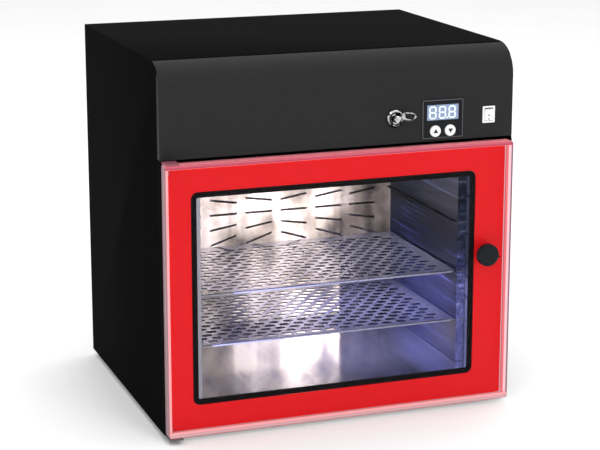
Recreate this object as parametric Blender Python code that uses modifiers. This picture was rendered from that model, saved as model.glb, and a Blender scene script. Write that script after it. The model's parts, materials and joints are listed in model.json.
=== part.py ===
"""Bench-top laboratory incubator: an insulated steel cabinet with an ultraviolet lamp, a slotted fan baffle,
two sliding shelves, a control fascia with a rounded top edge, and a clear-fronted red door hinged on the left.

Lengths are in metres and +Z is up. X runs to the right as the door is faced. "depth" is the distance behind
the cabinet's front plane, so a piece of the door has a negative depth; y_at() turns a depth into a Y value.
The origin is under the middle of the whole object, on the surface that its feet stand on."""

import math

import bmesh
import bpy
from mathutils import Matrix, Vector

# ---- Driving dimensions -------------------------------------------------------------------------------
CASE_WIDTH = 0.450
CASE_DEPTH = 0.360
CASE_HEIGHT = 0.448
FOOT_HEIGHT = 0.008
SHEET = 0.0012
GAP = 0.0003

CURVE_DEPTH = 0.042
CURVE_DROP = 0.036
SEAM_DEPTH = 0.033
SIDE_EDGE_DEPTH = 0.010
FASCIA_HEIGHT = 0.113
FASCIA_SHEET = 0.0020
FRAME_SHEET = 0.0015

DOOR_STANDOFF = 0.0018
DOOR_THICKNESS = 0.016
DOOR_LEFT = -0.2240
DOOR_RIGHT = 0.2185
DOOR_BOTTOM = 0.0095
DOOR_TOP = 0.3400
POCKET_DEPTH = 0.006
KNOB_HEIGHT = 0.0082
HINGE_INSET = 0.005
HINGE_DEPTH = -0.0108

MOUTH_HALF_WIDTH = 0.1775
CHAMBER_HALF_WIDTH = 0.192
CHAMBER_FLOOR = 0.038
CHAMBER_CEILING = 0.298
CHAMBER_DEPTH = 0.318
BAFFLE_DEPTH = 0.277
RACK_FRONT = 0.056
RACK_HALF_WIDTH = 0.180
LEDGE_LEVELS = (0.0950, 0.1595, 0.2240)
LEDGE_REACH = 0.005
SHELF_HALF_WIDTH = 0.177

INLET_PROUD = 0.003

# ---- Worked out from them -----------------------------------------------------------------------------
HALF_WIDTH = CASE_WIDTH / 2
CASE_BOTTOM = FOOT_HEIGHT
CASE_TOP = CASE_BOTTOM + CASE_HEIGHT
FASCIA_BOTTOM = CASE_TOP - FASCIA_HEIGHT
DOOR_BACK = -DOOR_STANDOFF
DOOR_FRONT = DOOR_BACK - DOOR_THICKNESS
POCKET_FLOOR = DOOR_BACK - POCKET_DEPTH
KNOB_FACE = DOOR_FRONT - GAP - KNOB_HEIGHT
FACE_Y = (-KNOB_FACE - CASE_DEPTH - INLET_PROUD) / 2
INNER_HALF_WIDTH = HALF_WIDTH - SHEET - GAP
REAR_PANEL_DEPTH = CASE_DEPTH - SHEET
INSULATION_HALF_WIDTH = INNER_HALF_WIDTH - 0.0017
INSULATION_TOP = 0.330
DECK_BOTTOM = INSULATION_TOP + GAP
DECK_TOP = DECK_BOTTOM + SHEET
HINGE_X = DOOR_LEFT + HINGE_INSET

# Red panel, and the window in it: edges of each in X and Z
PANEL = {"left": -0.2200, "right": 0.2125, "bottom": 0.0145, "top": 0.3340}
WINDOW = {"left": -0.1905, "right": 0.1735, "bottom": 0.0445, "top": 0.3045}
WINDOW_BORDER = 0.0068
WINDOW_RADIUS = 0.0085

# Latch
LATCH_X = 0.1855
LATCH_Z = 0.1995
KNOB_RADIUS = 0.014
POINTER_DROP = 0.0026
LATCH_SHAFT_RADIUS = 0.003
LATCH_BORE_RADIUS = 0.0036
CAM_HUB_RADIUS = 0.0045
CAM_REACH = 0.0165
CAM_HALF_WIDTH = 0.0033

# Controls on the fascia
LOCK_X = 0.068
LOCK_Z = 0.3745
MODULE_X = 0.1306
MODULE_BOTTOM = 0.3470
MODULE_TOP = 0.3940
MODULE_HALF_WIDTH = 0.0267
DISPLAY_BOTTOM = 0.3692
DISPLAY_TOP = 0.3878
DISPLAY_HALF_WIDTH = 0.0206
BUTTON_Z = 0.3558
BUTTON_SPREAD = 0.0098
BUTTON_RADIUS = 0.0070
ROCKER_X = 0.1921
ROCKER_Z = 0.3720

# Fan, heater, probe and lamp
FAN_X = 0.013
FAN_Z = 0.2025
FAN_RADIUS = 0.052
FAN_BACK = 0.3072
HEATER_RADIUS = 0.066
HEATER_DEPTH = 0.2960
HEATER_TUBE = 0.0035
PROBE_X = -0.130
PROBE_Z = 0.2850
LAMP_DEPTH = 0.150
LAMP_Z = 0.2760
LAMP_RADIUS = 0.008
LAMP_HALF_LENGTH = 0.144

# Slots of the rear baffle: their tilt grows with each row away from the fan's height
SLOT_COLUMNS = (-0.125, -0.075, -0.025, 0.025, 0.075, 0.125)
SLOT_ROWS = (-3, -2, -1, 0, 1, 2, 3)
SLOT_ROW_PITCH = 0.018
SLOT_TILT = math.radians(9)
SLOT_LENGTH = 0.038
SLOT_WIDTH = 0.0028

# Rear sockets
INLET_X = 0.150
FUSE_X = 0.105
REAR_SOCKET_Z = 0.392

FINISHES = {
    "black_powder_coat": ((0.012, 0.012, 0.013), 0.55, 0.0, 1.0),
    "charcoal_paint": ((0.030, 0.030, 0.032), 0.45, 0.0, 1.0),
    "black_plastic": ((0.010, 0.010, 0.011), 0.40, 0.0, 1.0),
    "black_rubber": ((0.015, 0.015, 0.015), 0.75, 0.0, 1.0),
    "red_panel": ((0.78, 0.018, 0.024), 0.30, 0.0, 1.0),
    "clear_acrylic": ((0.95, 0.88, 0.89), 0.05, 0.0, 0.25),
    "clear_glass": ((0.92, 0.96, 0.95), 0.03, 0.0, 0.25),
    "brushed_stainless": ((0.55, 0.55, 0.56), 0.32, 1.0, 1.0),
    "galvanised_steel": ((0.42, 0.43, 0.44), 0.45, 1.0, 1.0),
    "polished_chrome": ((0.75, 0.75, 0.77), 0.10, 1.0, 1.0),
    "white_plastic": ((0.80, 0.80, 0.78), 0.35, 0.0, 1.0),
    "mineral_wool": ((0.62, 0.56, 0.38), 0.95, 0.0, 1.0),
    "aluminium": ((0.70, 0.71, 0.72), 0.35, 1.0, 1.0),
    "circuit_board": ((0.020, 0.110, 0.040), 0.50, 0.0, 1.0),
    "display_lens": ((0.030, 0.045, 0.070), 0.10, 0.0, 1.0),
    "lamp_glass": ((0.85, 0.86, 0.95), 0.15, 0.0, 1.0),
    "white_ceramic": ((0.85, 0.85, 0.83), 0.30, 0.0, 1.0),
    "grey_silicone": ((0.30, 0.30, 0.31), 0.60, 0.0, 1.0),
}


# ---- Tools --------------------------------------------------------------------------------------------
def y_at(depth):
    """The Y value of a depth behind the cabinet's front plane."""
    return FACE_Y + depth


def clear_scene():
    for obj in list(bpy.data.objects):
        bpy.data.objects.remove(obj, do_unlink=True)


def new_collection(name):
    collection = bpy.data.collections.new(name)
    bpy.context.scene.collection.children.link(collection)
    return collection


def add_finish(obj, finish):
    colour, roughness, metallic, alpha = FINISHES[finish]
    material = bpy.data.materials.new(obj.name + "_" + finish)
    material.use_nodes = True
    shader = material.node_tree.nodes["Principled BSDF"]
    shader.inputs["Base Color"].default_value = (*colour, 1.0)
    shader.inputs["Roughness"].default_value = roughness
    shader.inputs["Metallic"].default_value = metallic
    shader.inputs["Alpha"].default_value = alpha
    obj.data.materials.clear()
    obj.data.materials.append(material)


def new_object(name, mesh, location, finish):
    """An object at location whose mesh is given around it: a part with a finish, or a cutter without one."""
    obj = bpy.data.objects.new(name, mesh)
    obj.location = location
    if finish:
        PARTS.objects.link(obj)
        add_finish(obj, finish)
        mesh.shade_smooth()
        mesh.set_sharp_from_angle(angle=math.radians(35))
    else:
        CUTTERS.objects.link(obj)
        obj.hide_render = True
        obj.display_type = "WIRE"
    return obj


def mesh_from(name, build):
    mesh = bpy.data.meshes.new(name)
    shape = bmesh.new()
    build(shape)
    bmesh.ops.recalc_face_normals(shape, faces=shape.faces)
    shape.to_mesh(mesh)
    shape.free()
    return mesh


def box(name, x, depth, z, finish=None, origin=None):
    """A box between two limits in X, depth and Z, with its origin at its middle unless origin says where."""
    size = Vector((x[1] - x[0], depth[1] - depth[0], z[1] - z[0]))
    middle = Vector(((x[0] + x[1]) / 2, y_at((depth[0] + depth[1]) / 2), (z[0] + z[1]) / 2))
    place = Vector(origin) if origin else middle

    def build(shape):
        matrix = Matrix.Translation(middle - place) @ Matrix.Diagonal((*size, 1.0))
        bmesh.ops.create_cube(shape, size=1.0, matrix=matrix)

    return new_object(name, mesh_from(name, build), place, finish)


def boxes(name, limits, finish=None):
    """Separate boxes in one mesh, each as (x, depth, z) limits. They may not overlap."""

    def build(shape):
        for x, depth, z in limits:
            size = (x[1] - x[0], depth[1] - depth[0], z[1] - z[0], 1.0)
            middle = ((x[0] + x[1]) / 2, y_at((depth[0] + depth[1]) / 2), (z[0] + z[1]) / 2)
            bmesh.ops.create_cube(shape, size=1.0, matrix=Matrix.Translation(middle) @ Matrix.Diagonal(size))

    return new_object(name, mesh_from(name, build), Vector(), finish)


ALONG = {
    "X": Matrix.Rotation(math.radians(90), 4, "Y"),
    "Y": Matrix.Rotation(math.radians(-90), 4, "X"),
    "Z": Matrix.Identity(4),
}


def cylinder(name, axis, centre, span, radius, finish=None, sides=32, far_radius=None):
    """A cylinder along axis. centre gives its other two coordinates and span its limits along the axis, with
    depths standing for Y. far_radius tapers it towards the span's second limit."""
    if axis == "X":
        start, end = (Vector((limit, y_at(centre[0]), centre[1])) for limit in span)
    elif axis == "Y":
        start, end = (Vector((centre[0], y_at(limit), centre[1])) for limit in span)
    else:
        start, end = (Vector((centre[0], y_at(centre[1]), limit)) for limit in span)
    second = radius if far_radius is None else far_radius

    def build(shape):
        length = (end - start).length
        bmesh.ops.create_cone(shape, cap_ends=True, segments=sides, radius1=radius, radius2=second,
                              depth=length, matrix=ALONG[axis])

    return new_object(name, mesh_from(name, build), (start + end) / 2, finish)


def turned(name, profile, centre, finish=None, sides=40):
    """A turned piece whose axis runs along Y at centre (x, z). profile lists (radius, depth) from the back
    of the piece, over its outer side, to its front, and closes on itself or ends on the axis."""
    closed = profile[0][0] > 0
    deepest = max(depth for radius, depth in profile)
    mesh = bpy.data.meshes.new(name)
    points = [(radius, 0.0, depth - deepest) for radius, depth in profile]
    edges = [(i, i + 1) for i in range(len(points) - 1)]
    if closed:
        edges.append((len(points) - 1, 0))
    mesh.from_pydata(points, edges, [])
    obj = new_object(name, mesh, (centre[0], y_at(deepest), centre[1]), finish)
    obj.rotation_euler = (math.radians(-90), 0.0, 0.0)
    screw = obj.modifiers.new("turn", "SCREW")
    screw.steps = sides
    screw.render_steps = sides
    screw.use_merge_vertices = True
    screw.merge_threshold = 0.00001
    return obj


PLANES = {
    "X": Matrix(((0, 0, 1, 0), (1, 0, 0, 0), (0, 1, 0, 0), (0, 0, 0, 1))),
    "Y": Matrix(((1, 0, 0, 0), (0, 0, -1, 0), (0, 1, 0, 0), (0, 0, 0, 1))),
    "Z": Matrix.Identity(4),
}


def plate(name, axis, outlines, span, finish=None, origin=None):
    """A flat piece between two limits along axis. The first outline is its edge and the others are holes.
    Outlines are (depth, z) points for axis X, (x, z) for Y and (x, depth) for Z; depths stand for Y."""
    curve = bpy.data.curves.new(name, "CURVE")
    curve.dimensions = "2D"
    curve.fill_mode = "BOTH"
    curve.extrude = (span[1] - span[0]) / 2
    for outline in outlines:
        spline = curve.splines.new("POLY")
        spline.points.add(len(outline) - 1)
        spline.use_cyclic_u = True
        for point, (u, v) in zip(spline.points, outline):
            first = y_at(u) if axis == "X" else u
            second = y_at(v) if axis == "Z" else v
            point.co = (first, second, 0.0, 1.0)
    middle = (span[0] + span[1]) / 2
    offset = {"X": (middle, 0, 0), "Y": (0, y_at(middle), 0), "Z": (0, 0, middle)}[axis]
    matrix = Matrix.Translation(offset) @ PLANES[axis]
    mesh = mesh_of_curve(name, curve)
    place = Vector(origin) if origin else matrix @ Vector((*outline_middle(outlines[0], axis), 0.0))
    mesh.transform(Matrix.Translation(-place) @ matrix)
    return new_object(name, mesh, place, finish)


def outline_middle(outline, axis):
    us = [y_at(u) if axis == "X" else u for u, v in outline]
    vs = [y_at(v) if axis == "Z" else v for u, v in outline]
    return (min(us) + max(us)) / 2, (min(vs) + max(vs)) / 2


def mesh_of_curve(name, curve):
    """The curve's evaluated mesh with its caps welded on. The curve itself is removed."""
    holder = bpy.data.objects.new(name + "_curve", curve)
    bpy.context.scene.collection.objects.link(holder)
    graph = bpy.context.evaluated_depsgraph_get()
    mesh = bpy.data.meshes.new_from_object(holder.evaluated_get(graph))
    bpy.data.objects.remove(holder, do_unlink=True)
    bpy.data.curves.remove(curve)
    shape = bmesh.new()
    shape.from_mesh(mesh)
    bmesh.ops.remove_doubles(shape, verts=shape.verts, dist=0.00002)
    bmesh.ops.recalc_face_normals(shape, faces=shape.faces)
    shape.to_mesh(mesh)
    shape.free()
    return mesh


def tube(name, points, radius, finish):
    """A round rod through points given as (x, depth, z)."""
    curve = bpy.data.curves.new(name, "CURVE")
    curve.dimensions = "3D"
    curve.bevel_depth = radius
    curve.bevel_resolution = 2
    curve.use_fill_caps = True
    spline = curve.splines.new("POLY")
    spline.points.add(len(points) - 1)
    for point, (x, depth, z) in zip(spline.points, points):
        point.co = (x, y_at(depth), z, 1.0)
    return new_object(name, mesh_of_curve(name, curve), Vector(), finish)


def combine(obj, operation, tools):
    for tool in tools:
        modifier = obj.modifiers.new(tool.name, "BOOLEAN")
        modifier.operation = operation
        modifier.solver = "EXACT"
        modifier.object = tool
    return obj


def cut(obj, *tools):
    return combine(obj, "DIFFERENCE", tools)


def join(obj, *tools):
    return combine(obj, "UNION", tools)


def arc(centre, radius, first, last, steps):
    """Points of an arc in degrees, counter-clockwise from first to last."""
    angles = [math.radians(first + (last - first) * i / steps) for i in range(steps + 1)]
    return [(centre[0] + radius * math.cos(a), centre[1] + radius * math.sin(a)) for a in angles]


def circle(centre, radius, sides=24):
    return arc(centre, radius, 0.0, 360.0, sides)[:-1]


def rectangle(left, right, bottom, top):
    return [(left, bottom), (right, bottom), (right, top), (left, top)]


def rounded_rectangle(left, right, bottom, top, radius, steps=4):
    corners = ((right - radius, top - radius, 0), (left + radius, top - radius, 90),
               (left + radius, bottom + radius, 180), (right - radius, bottom + radius, 270))
    points = []
    for x, z, first in corners:
        points += arc((x, z), radius, first, first + 90, steps)
    return points


def ellipse(centre, half_width, half_height, sides=28):
    return [(centre[0] + half_width * math.cos(2 * math.pi * i / sides),
             centre[1] + half_height * math.sin(2 * math.pi * i / sides)) for i in range(sides)]


def front_curve(first_depth, last_depth, inset=0.0, steps=12):
    """(depth, z) points of the cabinet's rounded top front edge, moved inwards by inset."""
    half_depth = CURVE_DEPTH - inset
    half_drop = CURVE_DROP - inset
    first = math.acos((CURVE_DEPTH - first_depth) / half_depth)
    last = math.acos((CURVE_DEPTH - last_depth) / half_depth)
    angles = [first + (last - first) * i / steps for i in range(steps + 1)]
    return [(CURVE_DEPTH - half_depth * math.cos(a), CASE_TOP - CURVE_DROP + half_drop * math.sin(a))
            for a in angles]


def pivot(name, x, depth, z, parent=None):
    """An empty on a joint's axis, for the moving pieces to hang from."""
    empty = bpy.data.objects.new(name, None)
    PARTS.objects.link(empty)
    empty.empty_display_size = 0.02
    empty.location = (x, y_at(depth), z)
    if parent:
        hang(empty, parent)
    return empty


def hang(obj, parent):
    """Parents obj without moving it. A parent empty has no rotation, so only the places subtract."""
    place = Vector()
    step = parent
    while step:
        place += step.location
        step = step.parent
    obj.location -= place
    obj.parent = parent


# ---- Cabinet ------------------------------------------------------------------------------------------
def make_wrapper():
    outline = [(SIDE_EDGE_DEPTH, CASE_BOTTOM)]
    outline += front_curve(SIDE_EDGE_DEPTH, CURVE_DEPTH)
    outline += [(CASE_DEPTH, CASE_TOP), (CASE_DEPTH, CASE_BOTTOM)]
    wrapper = plate("outer_wrapper", "X", [outline], (-HALF_WIDTH, HALF_WIDTH), "black_powder_coat")
    inner = HALF_WIDTH - SHEET
    beyond = CASE_DEPTH + 0.01
    hollow = [(SHEET, 0.0)] + front_curve(SHEET, CURVE_DEPTH, SHEET)
    hollow += [(beyond, CASE_TOP - SHEET), (beyond, 0.0)]
    return cut(wrapper, plate("wrapper_hollow", "X", [hollow], (-inner, inner)),
               box("fascia_bay", (-inner, inner), (0.0, SEAM_DEPTH), (FASCIA_BOTTOM, CASE_TOP + 0.01)))


def make_fascia():
    back = SEAM_DEPTH - GAP
    outline = [(0.0, FASCIA_BOTTOM)] + front_curve(0.0, back) + [(back, FASCIA_BOTTOM)]
    fascia = plate("control_fascia", "X", [outline], (-HALF_WIDTH, HALF_WIDTH), "charcoal_paint")
    floor = FASCIA_BOTTOM + FASCIA_SHEET
    hollow = [(FASCIA_SHEET, floor)] + front_curve(FASCIA_SHEET, CURVE_DEPTH, FASCIA_SHEET)
    hollow += [(CURVE_DEPTH, floor)]
    side = HALF_WIDTH - FRAME_SHEET
    past = HALF_WIDTH + 0.01
    behind = (SIDE_EDGE_DEPTH - GAP, SEAM_DEPTH + 0.01)
    heights = (FASCIA_BOTTOM - 0.01, CASE_TOP + 0.01)
    trims = boxes("fascia_side_trims", [((-past, -INNER_HALF_WIDTH), behind, heights),
                                        ((INNER_HALF_WIDTH, past), behind, heights)])
    through = (-0.005, 0.005)
    holes = boxes("fascia_cutouts", [
        ((MODULE_X - 0.0253, MODULE_X + 0.0253), through, (MODULE_BOTTOM + 0.0011, MODULE_TOP - 0.0009)),
        ((ROCKER_X - 0.0072, ROCKER_X + 0.0072), through, (ROCKER_Z - 0.0096, ROCKER_Z + 0.0096))])
    return cut(fascia, plate("fascia_hollow", "X", [hollow], (-side, side)), trims, holes,
               cylinder("lock_cutout", "Y", (LOCK_X, LOCK_Z), through, 0.0093, sides=28))


def make_base():
    limits = (0.0018, REAR_PANEL_DEPTH - GAP)
    rim = CASE_BOTTOM + 0.012
    pan = box("base_pan", (-INNER_HALF_WIDTH, INNER_HALF_WIDTH), limits, (CASE_BOTTOM, rim),
              "galvanised_steel")
    inner = INNER_HALF_WIDTH - SHEET
    inside = (limits[0] + SHEET, limits[1] - SHEET)
    return cut(pan, box("base_hollow", (-inner, inner), inside, (CASE_BOTTOM + SHEET, rim + 0.01)))


def make_rear_panel():
    panel = box("rear_panel", (-INNER_HALF_WIDTH, INNER_HALF_WIDTH), (REAR_PANEL_DEPTH, CASE_DEPTH),
                (CASE_BOTTOM + GAP, CASE_TOP - SHEET - GAP), "black_powder_coat")
    through = (REAR_PANEL_DEPTH - 0.005, CASE_DEPTH + 0.005)
    slots = [((-0.165, -0.085), through, (0.350 + 0.010 * row, 0.354 + 0.010 * row)) for row in range(8)]
    slots.append(((INLET_X - 0.0140, INLET_X + 0.0140), through,
                  (REAR_SOCKET_Z - 0.0105, REAR_SOCKET_Z + 0.0105)))
    return cut(panel, boxes("rear_openings", slots),
               cylinder("fuse_cutout", "Y", (FUSE_X, REAR_SOCKET_Z), through, 0.0063, sides=24))


def make_front_frame():
    bottom = CASE_BOTTOM + 0.0004
    frame = box("front_frame", (-HALF_WIDTH, HALF_WIDTH), (0.0, SIDE_EDGE_DEPTH - GAP), (bottom, DOOR_TOP),
                "black_powder_coat")
    side = HALF_WIDTH - FRAME_SHEET
    channel = box("frame_channel", (-side, side), (FRAME_SHEET, 0.02), (0.0, DOOR_TOP + 0.01))
    mouth = rounded_rectangle(-MOUTH_HALF_WIDTH, MOUTH_HALF_WIDTH, CHAMBER_FLOOR, CHAMBER_CEILING + 0.0005,
                              0.003)
    through = (-0.005, 0.005)
    slot_top = LATCH_Z + CAM_REACH + 0.0020
    return cut(frame, channel, plate("frame_mouth", "Y", [mouth], through),
               cylinder("latch_slot_hub", "Y", (LATCH_X, LATCH_Z), through, 0.0062, sides=24),
               box("latch_slot", (LATCH_X - 0.0050, LATCH_X + 0.0050), through, (LATCH_Z, slot_top)))


def make_chamber_liner():
    half = CHAMBER_HALF_WIDTH
    liner = box("chamber_liner", (-half - SHEET, half + SHEET), (0.0018, CHAMBER_DEPTH + SHEET),
                (CHAMBER_FLOOR - SHEET, CHAMBER_CEILING + SHEET), "brushed_stainless")
    hollow = box("chamber_hollow", (-half, half), (-0.01, CHAMBER_DEPTH), (CHAMBER_FLOOR, CHAMBER_CEILING))
    notch = box("latch_notch", (half - 0.002, half + 0.004), (-0.01, 0.0165),
                (LATCH_Z - 0.0085, LATCH_Z + 0.0225))
    through = (CHAMBER_DEPTH - 0.003, CHAMBER_DEPTH + 0.005)
    holes = [cylinder("shaft_hole", "Y", (FAN_X, FAN_Z), through, 0.006, sides=20),
             cylinder("probe_hole", "Y", (PROBE_X, PROBE_Z), through, 0.0026, sides=16)]
    for side, (x, z) in zip(("left", "right"), heater_legs()):
        holes.append(cylinder("heater_hole_" + side, "Y", (x, z), through, 0.0042, sides=16))
    return cut(liner, hollow, notch, *holes)


def make_insulation():
    inner = CHAMBER_HALF_WIDTH + SHEET + GAP
    below = CASE_BOTTOM + SHEET + GAP
    back = REAR_PANEL_DEPTH - 0.0018
    for name, x in (("insulation_left", (-INSULATION_HALF_WIDTH, -inner)),
                    ("insulation_right", (inner, INSULATION_HALF_WIDTH))):
        box(name, x, (0.0175, back), (below, INSULATION_TOP), "mineral_wool")
    across = (-inner + GAP, inner - GAP)
    box("insulation_top", across, (0.0100, back), (CHAMBER_CEILING + SHEET + GAP, INSULATION_TOP),
        "mineral_wool")
    box("insulation_bottom", across, (0.0035, back), (below, CHAMBER_FLOOR - SHEET - GAP), "mineral_wool")
    front = CHAMBER_DEPTH + SHEET + GAP
    rear = box("insulation_rear", across, (front, back), (CHAMBER_FLOOR - SHEET, CHAMBER_CEILING + SHEET),
               "mineral_wool")
    tools = [box("motor_bay", (FAN_X - 0.037, FAN_X + 0.037), (front - 0.01, back + 0.01),
                 (FAN_Z - 0.037, FAN_Z + 0.037)),
             cylinder("probe_channel", "Y", (PROBE_X, PROBE_Z), (front - 0.01, 0.333), 0.0026, sides=16)]
    for side, (x, z) in zip(("left", "right"), heater_legs()):
        tools.append(cylinder("heater_channel_" + side, "Y", (x, z), (front - 0.01, 0.336), 0.0042, sides=16))
    cut(rear, *tools)


def make_electronics_deck():
    half = INSULATION_HALF_WIDTH
    deck = box("electronics_deck", (-half, half), (0.036, REAR_PANEL_DEPTH - 0.0008), (DECK_BOTTOM, DECK_TOP),
               "galvanised_steel")
    wires = [((x - 0.012, x + 0.012), (0.300, 0.318), (DECK_BOTTOM - 0.01, DECK_TOP + 0.01))
             for x in (-0.15, 0.15)]
    return cut(deck, boxes("wire_holes", wires))


def make_feet():
    for side, x in (("left", -0.185), ("right", 0.185)):
        for end, depth in (("front", 0.050), ("rear", 0.310)):
            cylinder(f"foot_{end}_{side}", "Z", (x, depth), (0.0, FOOT_HEIGHT - GAP), 0.010, "black_rubber",
                     28, 0.012)


# ---- Inside the chamber -------------------------------------------------------------------------------
def make_baffle():
    depths = (BAFFLE_DEPTH, BAFFLE_DEPTH + SHEET)
    baffle = box("rear_baffle", (-CHAMBER_HALF_WIDTH + 0.0005, CHAMBER_HALF_WIDTH - 0.0005), depths,
                 (CHAMBER_FLOOR + 0.0004, CHAMBER_CEILING - 0.0004), "brushed_stainless")

    def build(shape):
        for column in SLOT_COLUMNS:
            for row in SLOT_ROWS:
                tilt = SLOT_TILT * row * (1 if column < 0 else -1)
                place = Matrix.Translation((FAN_X + column, y_at(depths[0]), FAN_Z + SLOT_ROW_PITCH * row))
                size = Matrix.Diagonal((SLOT_LENGTH, 0.01, SLOT_WIDTH, 1.0))
                bmesh.ops.create_cube(shape, size=1.0, matrix=place @ Matrix.Rotation(tilt, 4, "Y") @ size)

    slots = new_object("baffle_slots", mesh_from("baffle_slots", build), Vector(), None)
    hole = cylinder("baffle_probe_hole", "Y", (PROBE_X, PROBE_Z), (depths[0] - 0.003, depths[1] + 0.003),
                    0.0026, sides=16)
    return cut(baffle, slots, hole)


def make_racks():
    for name, side in (("shelf_rack_left", -1), ("shelf_rack_right", 1)):
        inner = side * RACK_HALF_WIDTH
        outer = side * (RACK_HALF_WIDTH + 0.001)
        bottom = CHAMBER_FLOOR + 0.0004
        top = CHAMBER_CEILING - 0.0004
        back = BAFFLE_DEPTH - GAP
        panel = box(name, sorted((inner, outer)), (RACK_FRONT, back), (bottom, top), "brushed_stainless")
        flange_end = side * (CHAMBER_HALF_WIDTH - 0.0005)
        flange = box(name + "_flange", sorted((inner, flange_end)), (RACK_FRONT, RACK_FRONT + 0.001),
                     (bottom, top))
        tip = side * (RACK_HALF_WIDTH - LEDGE_REACH)
        root = side * (RACK_HALF_WIDTH + 0.0005)
        ledges = [(sorted((tip, root)), (RACK_FRONT + 0.004, back), (level - 0.0015, level))
                  for level in LEDGE_LEVELS]
        join(panel, flange, boxes(name + "_ledges", ledges))


def make_shelf(name, level):
    """A perforated tray in outline: a flat sheet on the ledges with a lip turned down along its front."""
    front = RACK_FRONT + 0.0005
    bottom = level + GAP
    origin = (0.0, y_at(front), bottom)
    sheet = box(name, (-SHELF_HALF_WIDTH, SHELF_HALF_WIDTH), (front, 0.2690), (bottom, bottom + SHEET),
                "brushed_stainless", origin)
    lip_half = RACK_HALF_WIDTH - LEDGE_REACH - 0.001
    lip = box(name + "_lip", (-lip_half, lip_half), (front, front + 0.0012), (bottom - 0.006, bottom + 0.0006))
    join(sheet, lip)
    hang(sheet, pivot(name + "_slide", 0.0, front, bottom))


def heater_legs():
    """(x, z) of the heater ring's two ends, where its legs turn back through the liner."""
    return [(FAN_X + HEATER_RADIUS * math.cos(a), FAN_Z + HEATER_RADIUS * math.sin(a))
            for a in (math.radians(255), math.radians(285))]


def make_heater():
    (left_x, left_z), (right_x, right_z) = heater_legs()
    leg_end = 0.3330
    ring = arc((FAN_X, FAN_Z), HEATER_RADIUS, -75.0, 255.0, 36)
    points = [(right_x, leg_end, right_z)]
    points += [(x, HEATER_DEPTH, z) for x, z in ring]
    points += [(left_x, leg_end, left_z)]
    tube("heater_element", points, HEATER_TUBE, "galvanised_steel")


def make_probe():
    cylinder("temperature_probe", "Y", (PROBE_X, PROBE_Z), (0.230, 0.330), 0.002, "polished_chrome", 16)


def make_lamp():
    cylinder("uv_lamp_tube", "X", (LAMP_DEPTH, LAMP_Z), (-LAMP_HALF_LENGTH, LAMP_HALF_LENGTH), LAMP_RADIUS,
             "lamp_glass", 28)
    for side, name in ((-1, "lamp_socket_left"), (1, "lamp_socket_right")):
        x = sorted((side * (LAMP_HALF_LENGTH + GAP), side * (LAMP_HALF_LENGTH + 0.012)))
        box(name, x, (LAMP_DEPTH - 0.010, LAMP_DEPTH + 0.010), (LAMP_Z - 0.011, CHAMBER_CEILING - GAP),
            "white_ceramic")
    top = CHAMBER_CEILING - 0.0006
    outer = [(-0.032, top - 0.014), (-0.020, top), (0.020, top), (0.032, top - 0.014)]
    inner = [(0.0312, top - 0.0145), (0.0195, top - 0.0008), (-0.0195, top - 0.0008), (-0.0312, top - 0.0145)]
    outline = [(LAMP_DEPTH + depth, z) for depth, z in outer + inner]
    plate("lamp_reflector", "X", [outline], (-LAMP_HALF_LENGTH + 0.001, LAMP_HALF_LENGTH - 0.001), "aluminium")


def make_fan():
    axis = pivot("fan_axis", FAN_X, FAN_BACK, FAN_Z)
    origin = (FAN_X, y_at(FAN_BACK), FAN_Z)
    disc = plate("fan_blade", "Y", [circle((FAN_X, FAN_Z), FAN_RADIUS, 32)], (FAN_BACK - 0.0012, FAN_BACK),
                 "aluminium", origin)

    def build(shape):
        for i in range(8):
            turn = Matrix.Translation(origin) @ Matrix.Rotation(math.radians(45 * i), 4, "Y")
            place = Matrix.Translation((0.036, -0.0102, 0.0))
            size = Matrix.Diagonal((0.028, 0.0190, 0.0010, 1.0))
            lean = Matrix.Rotation(math.radians(25), 4, "Y")
            bmesh.ops.create_cube(shape, size=1.0, matrix=turn @ place @ lean @ size)

    blades = new_object("fan_vanes", mesh_from("fan_vanes", build), Vector(), None)
    hub = cylinder("fan_hub", "Y", (FAN_X, FAN_Z), (FAN_BACK - 0.012, FAN_BACK - 0.0005), 0.010, sides=24)
    bore = cylinder("fan_bore", "Y", (FAN_X, FAN_Z), (FAN_BACK - 0.02, FAN_BACK + 0.01), 0.0033, sides=20)
    join(disc, blades, hub)
    cut(disc, bore)
    hang(disc, axis)
    shaft = cylinder("fan_shaft", "Y", (FAN_X, FAN_Z), (FAN_BACK - 0.011, 0.3330), 0.003, "polished_chrome", 20)
    hang(shaft, axis)
    front = CHAMBER_DEPTH + SHEET + GAP
    motor = turned("fan_motor", [(0.0034, 0.3546), (0.026, 0.3546), (0.028, 0.3526), (0.028, front + 0.0008),
                                 (0.0034, front + 0.0008)], (FAN_X, FAN_Z), "galvanised_steel", 32)
    flange = boxes("motor_flange", [((FAN_X - 0.035, FAN_X + 0.035), (front, front + 0.0015),
                                     (FAN_Z - 0.035, FAN_Z + 0.035))])
    join(motor, flange)
    cut(motor, cylinder("motor_bore", "Y", (FAN_X, FAN_Z), (front - 0.01, 0.3345), 0.0040, sides=20))


# ---- Electronics --------------------------------------------------------------------------------------
def make_electronics():
    floor = DECK_TOP + GAP
    box("lamp_ballast", (-0.180, -0.060), (0.200, 0.245), (floor, 0.360), "galvanised_steel")
    core = box("mains_transformer", (0.020, 0.095), (0.235, 0.275), (floor, 0.392), "galvanised_steel")
    join(core, boxes("transformer_coil", [((0.037, 0.078), (0.220, 0.290), (0.343, 0.381))]))
    make_control_board(floor)


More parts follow.
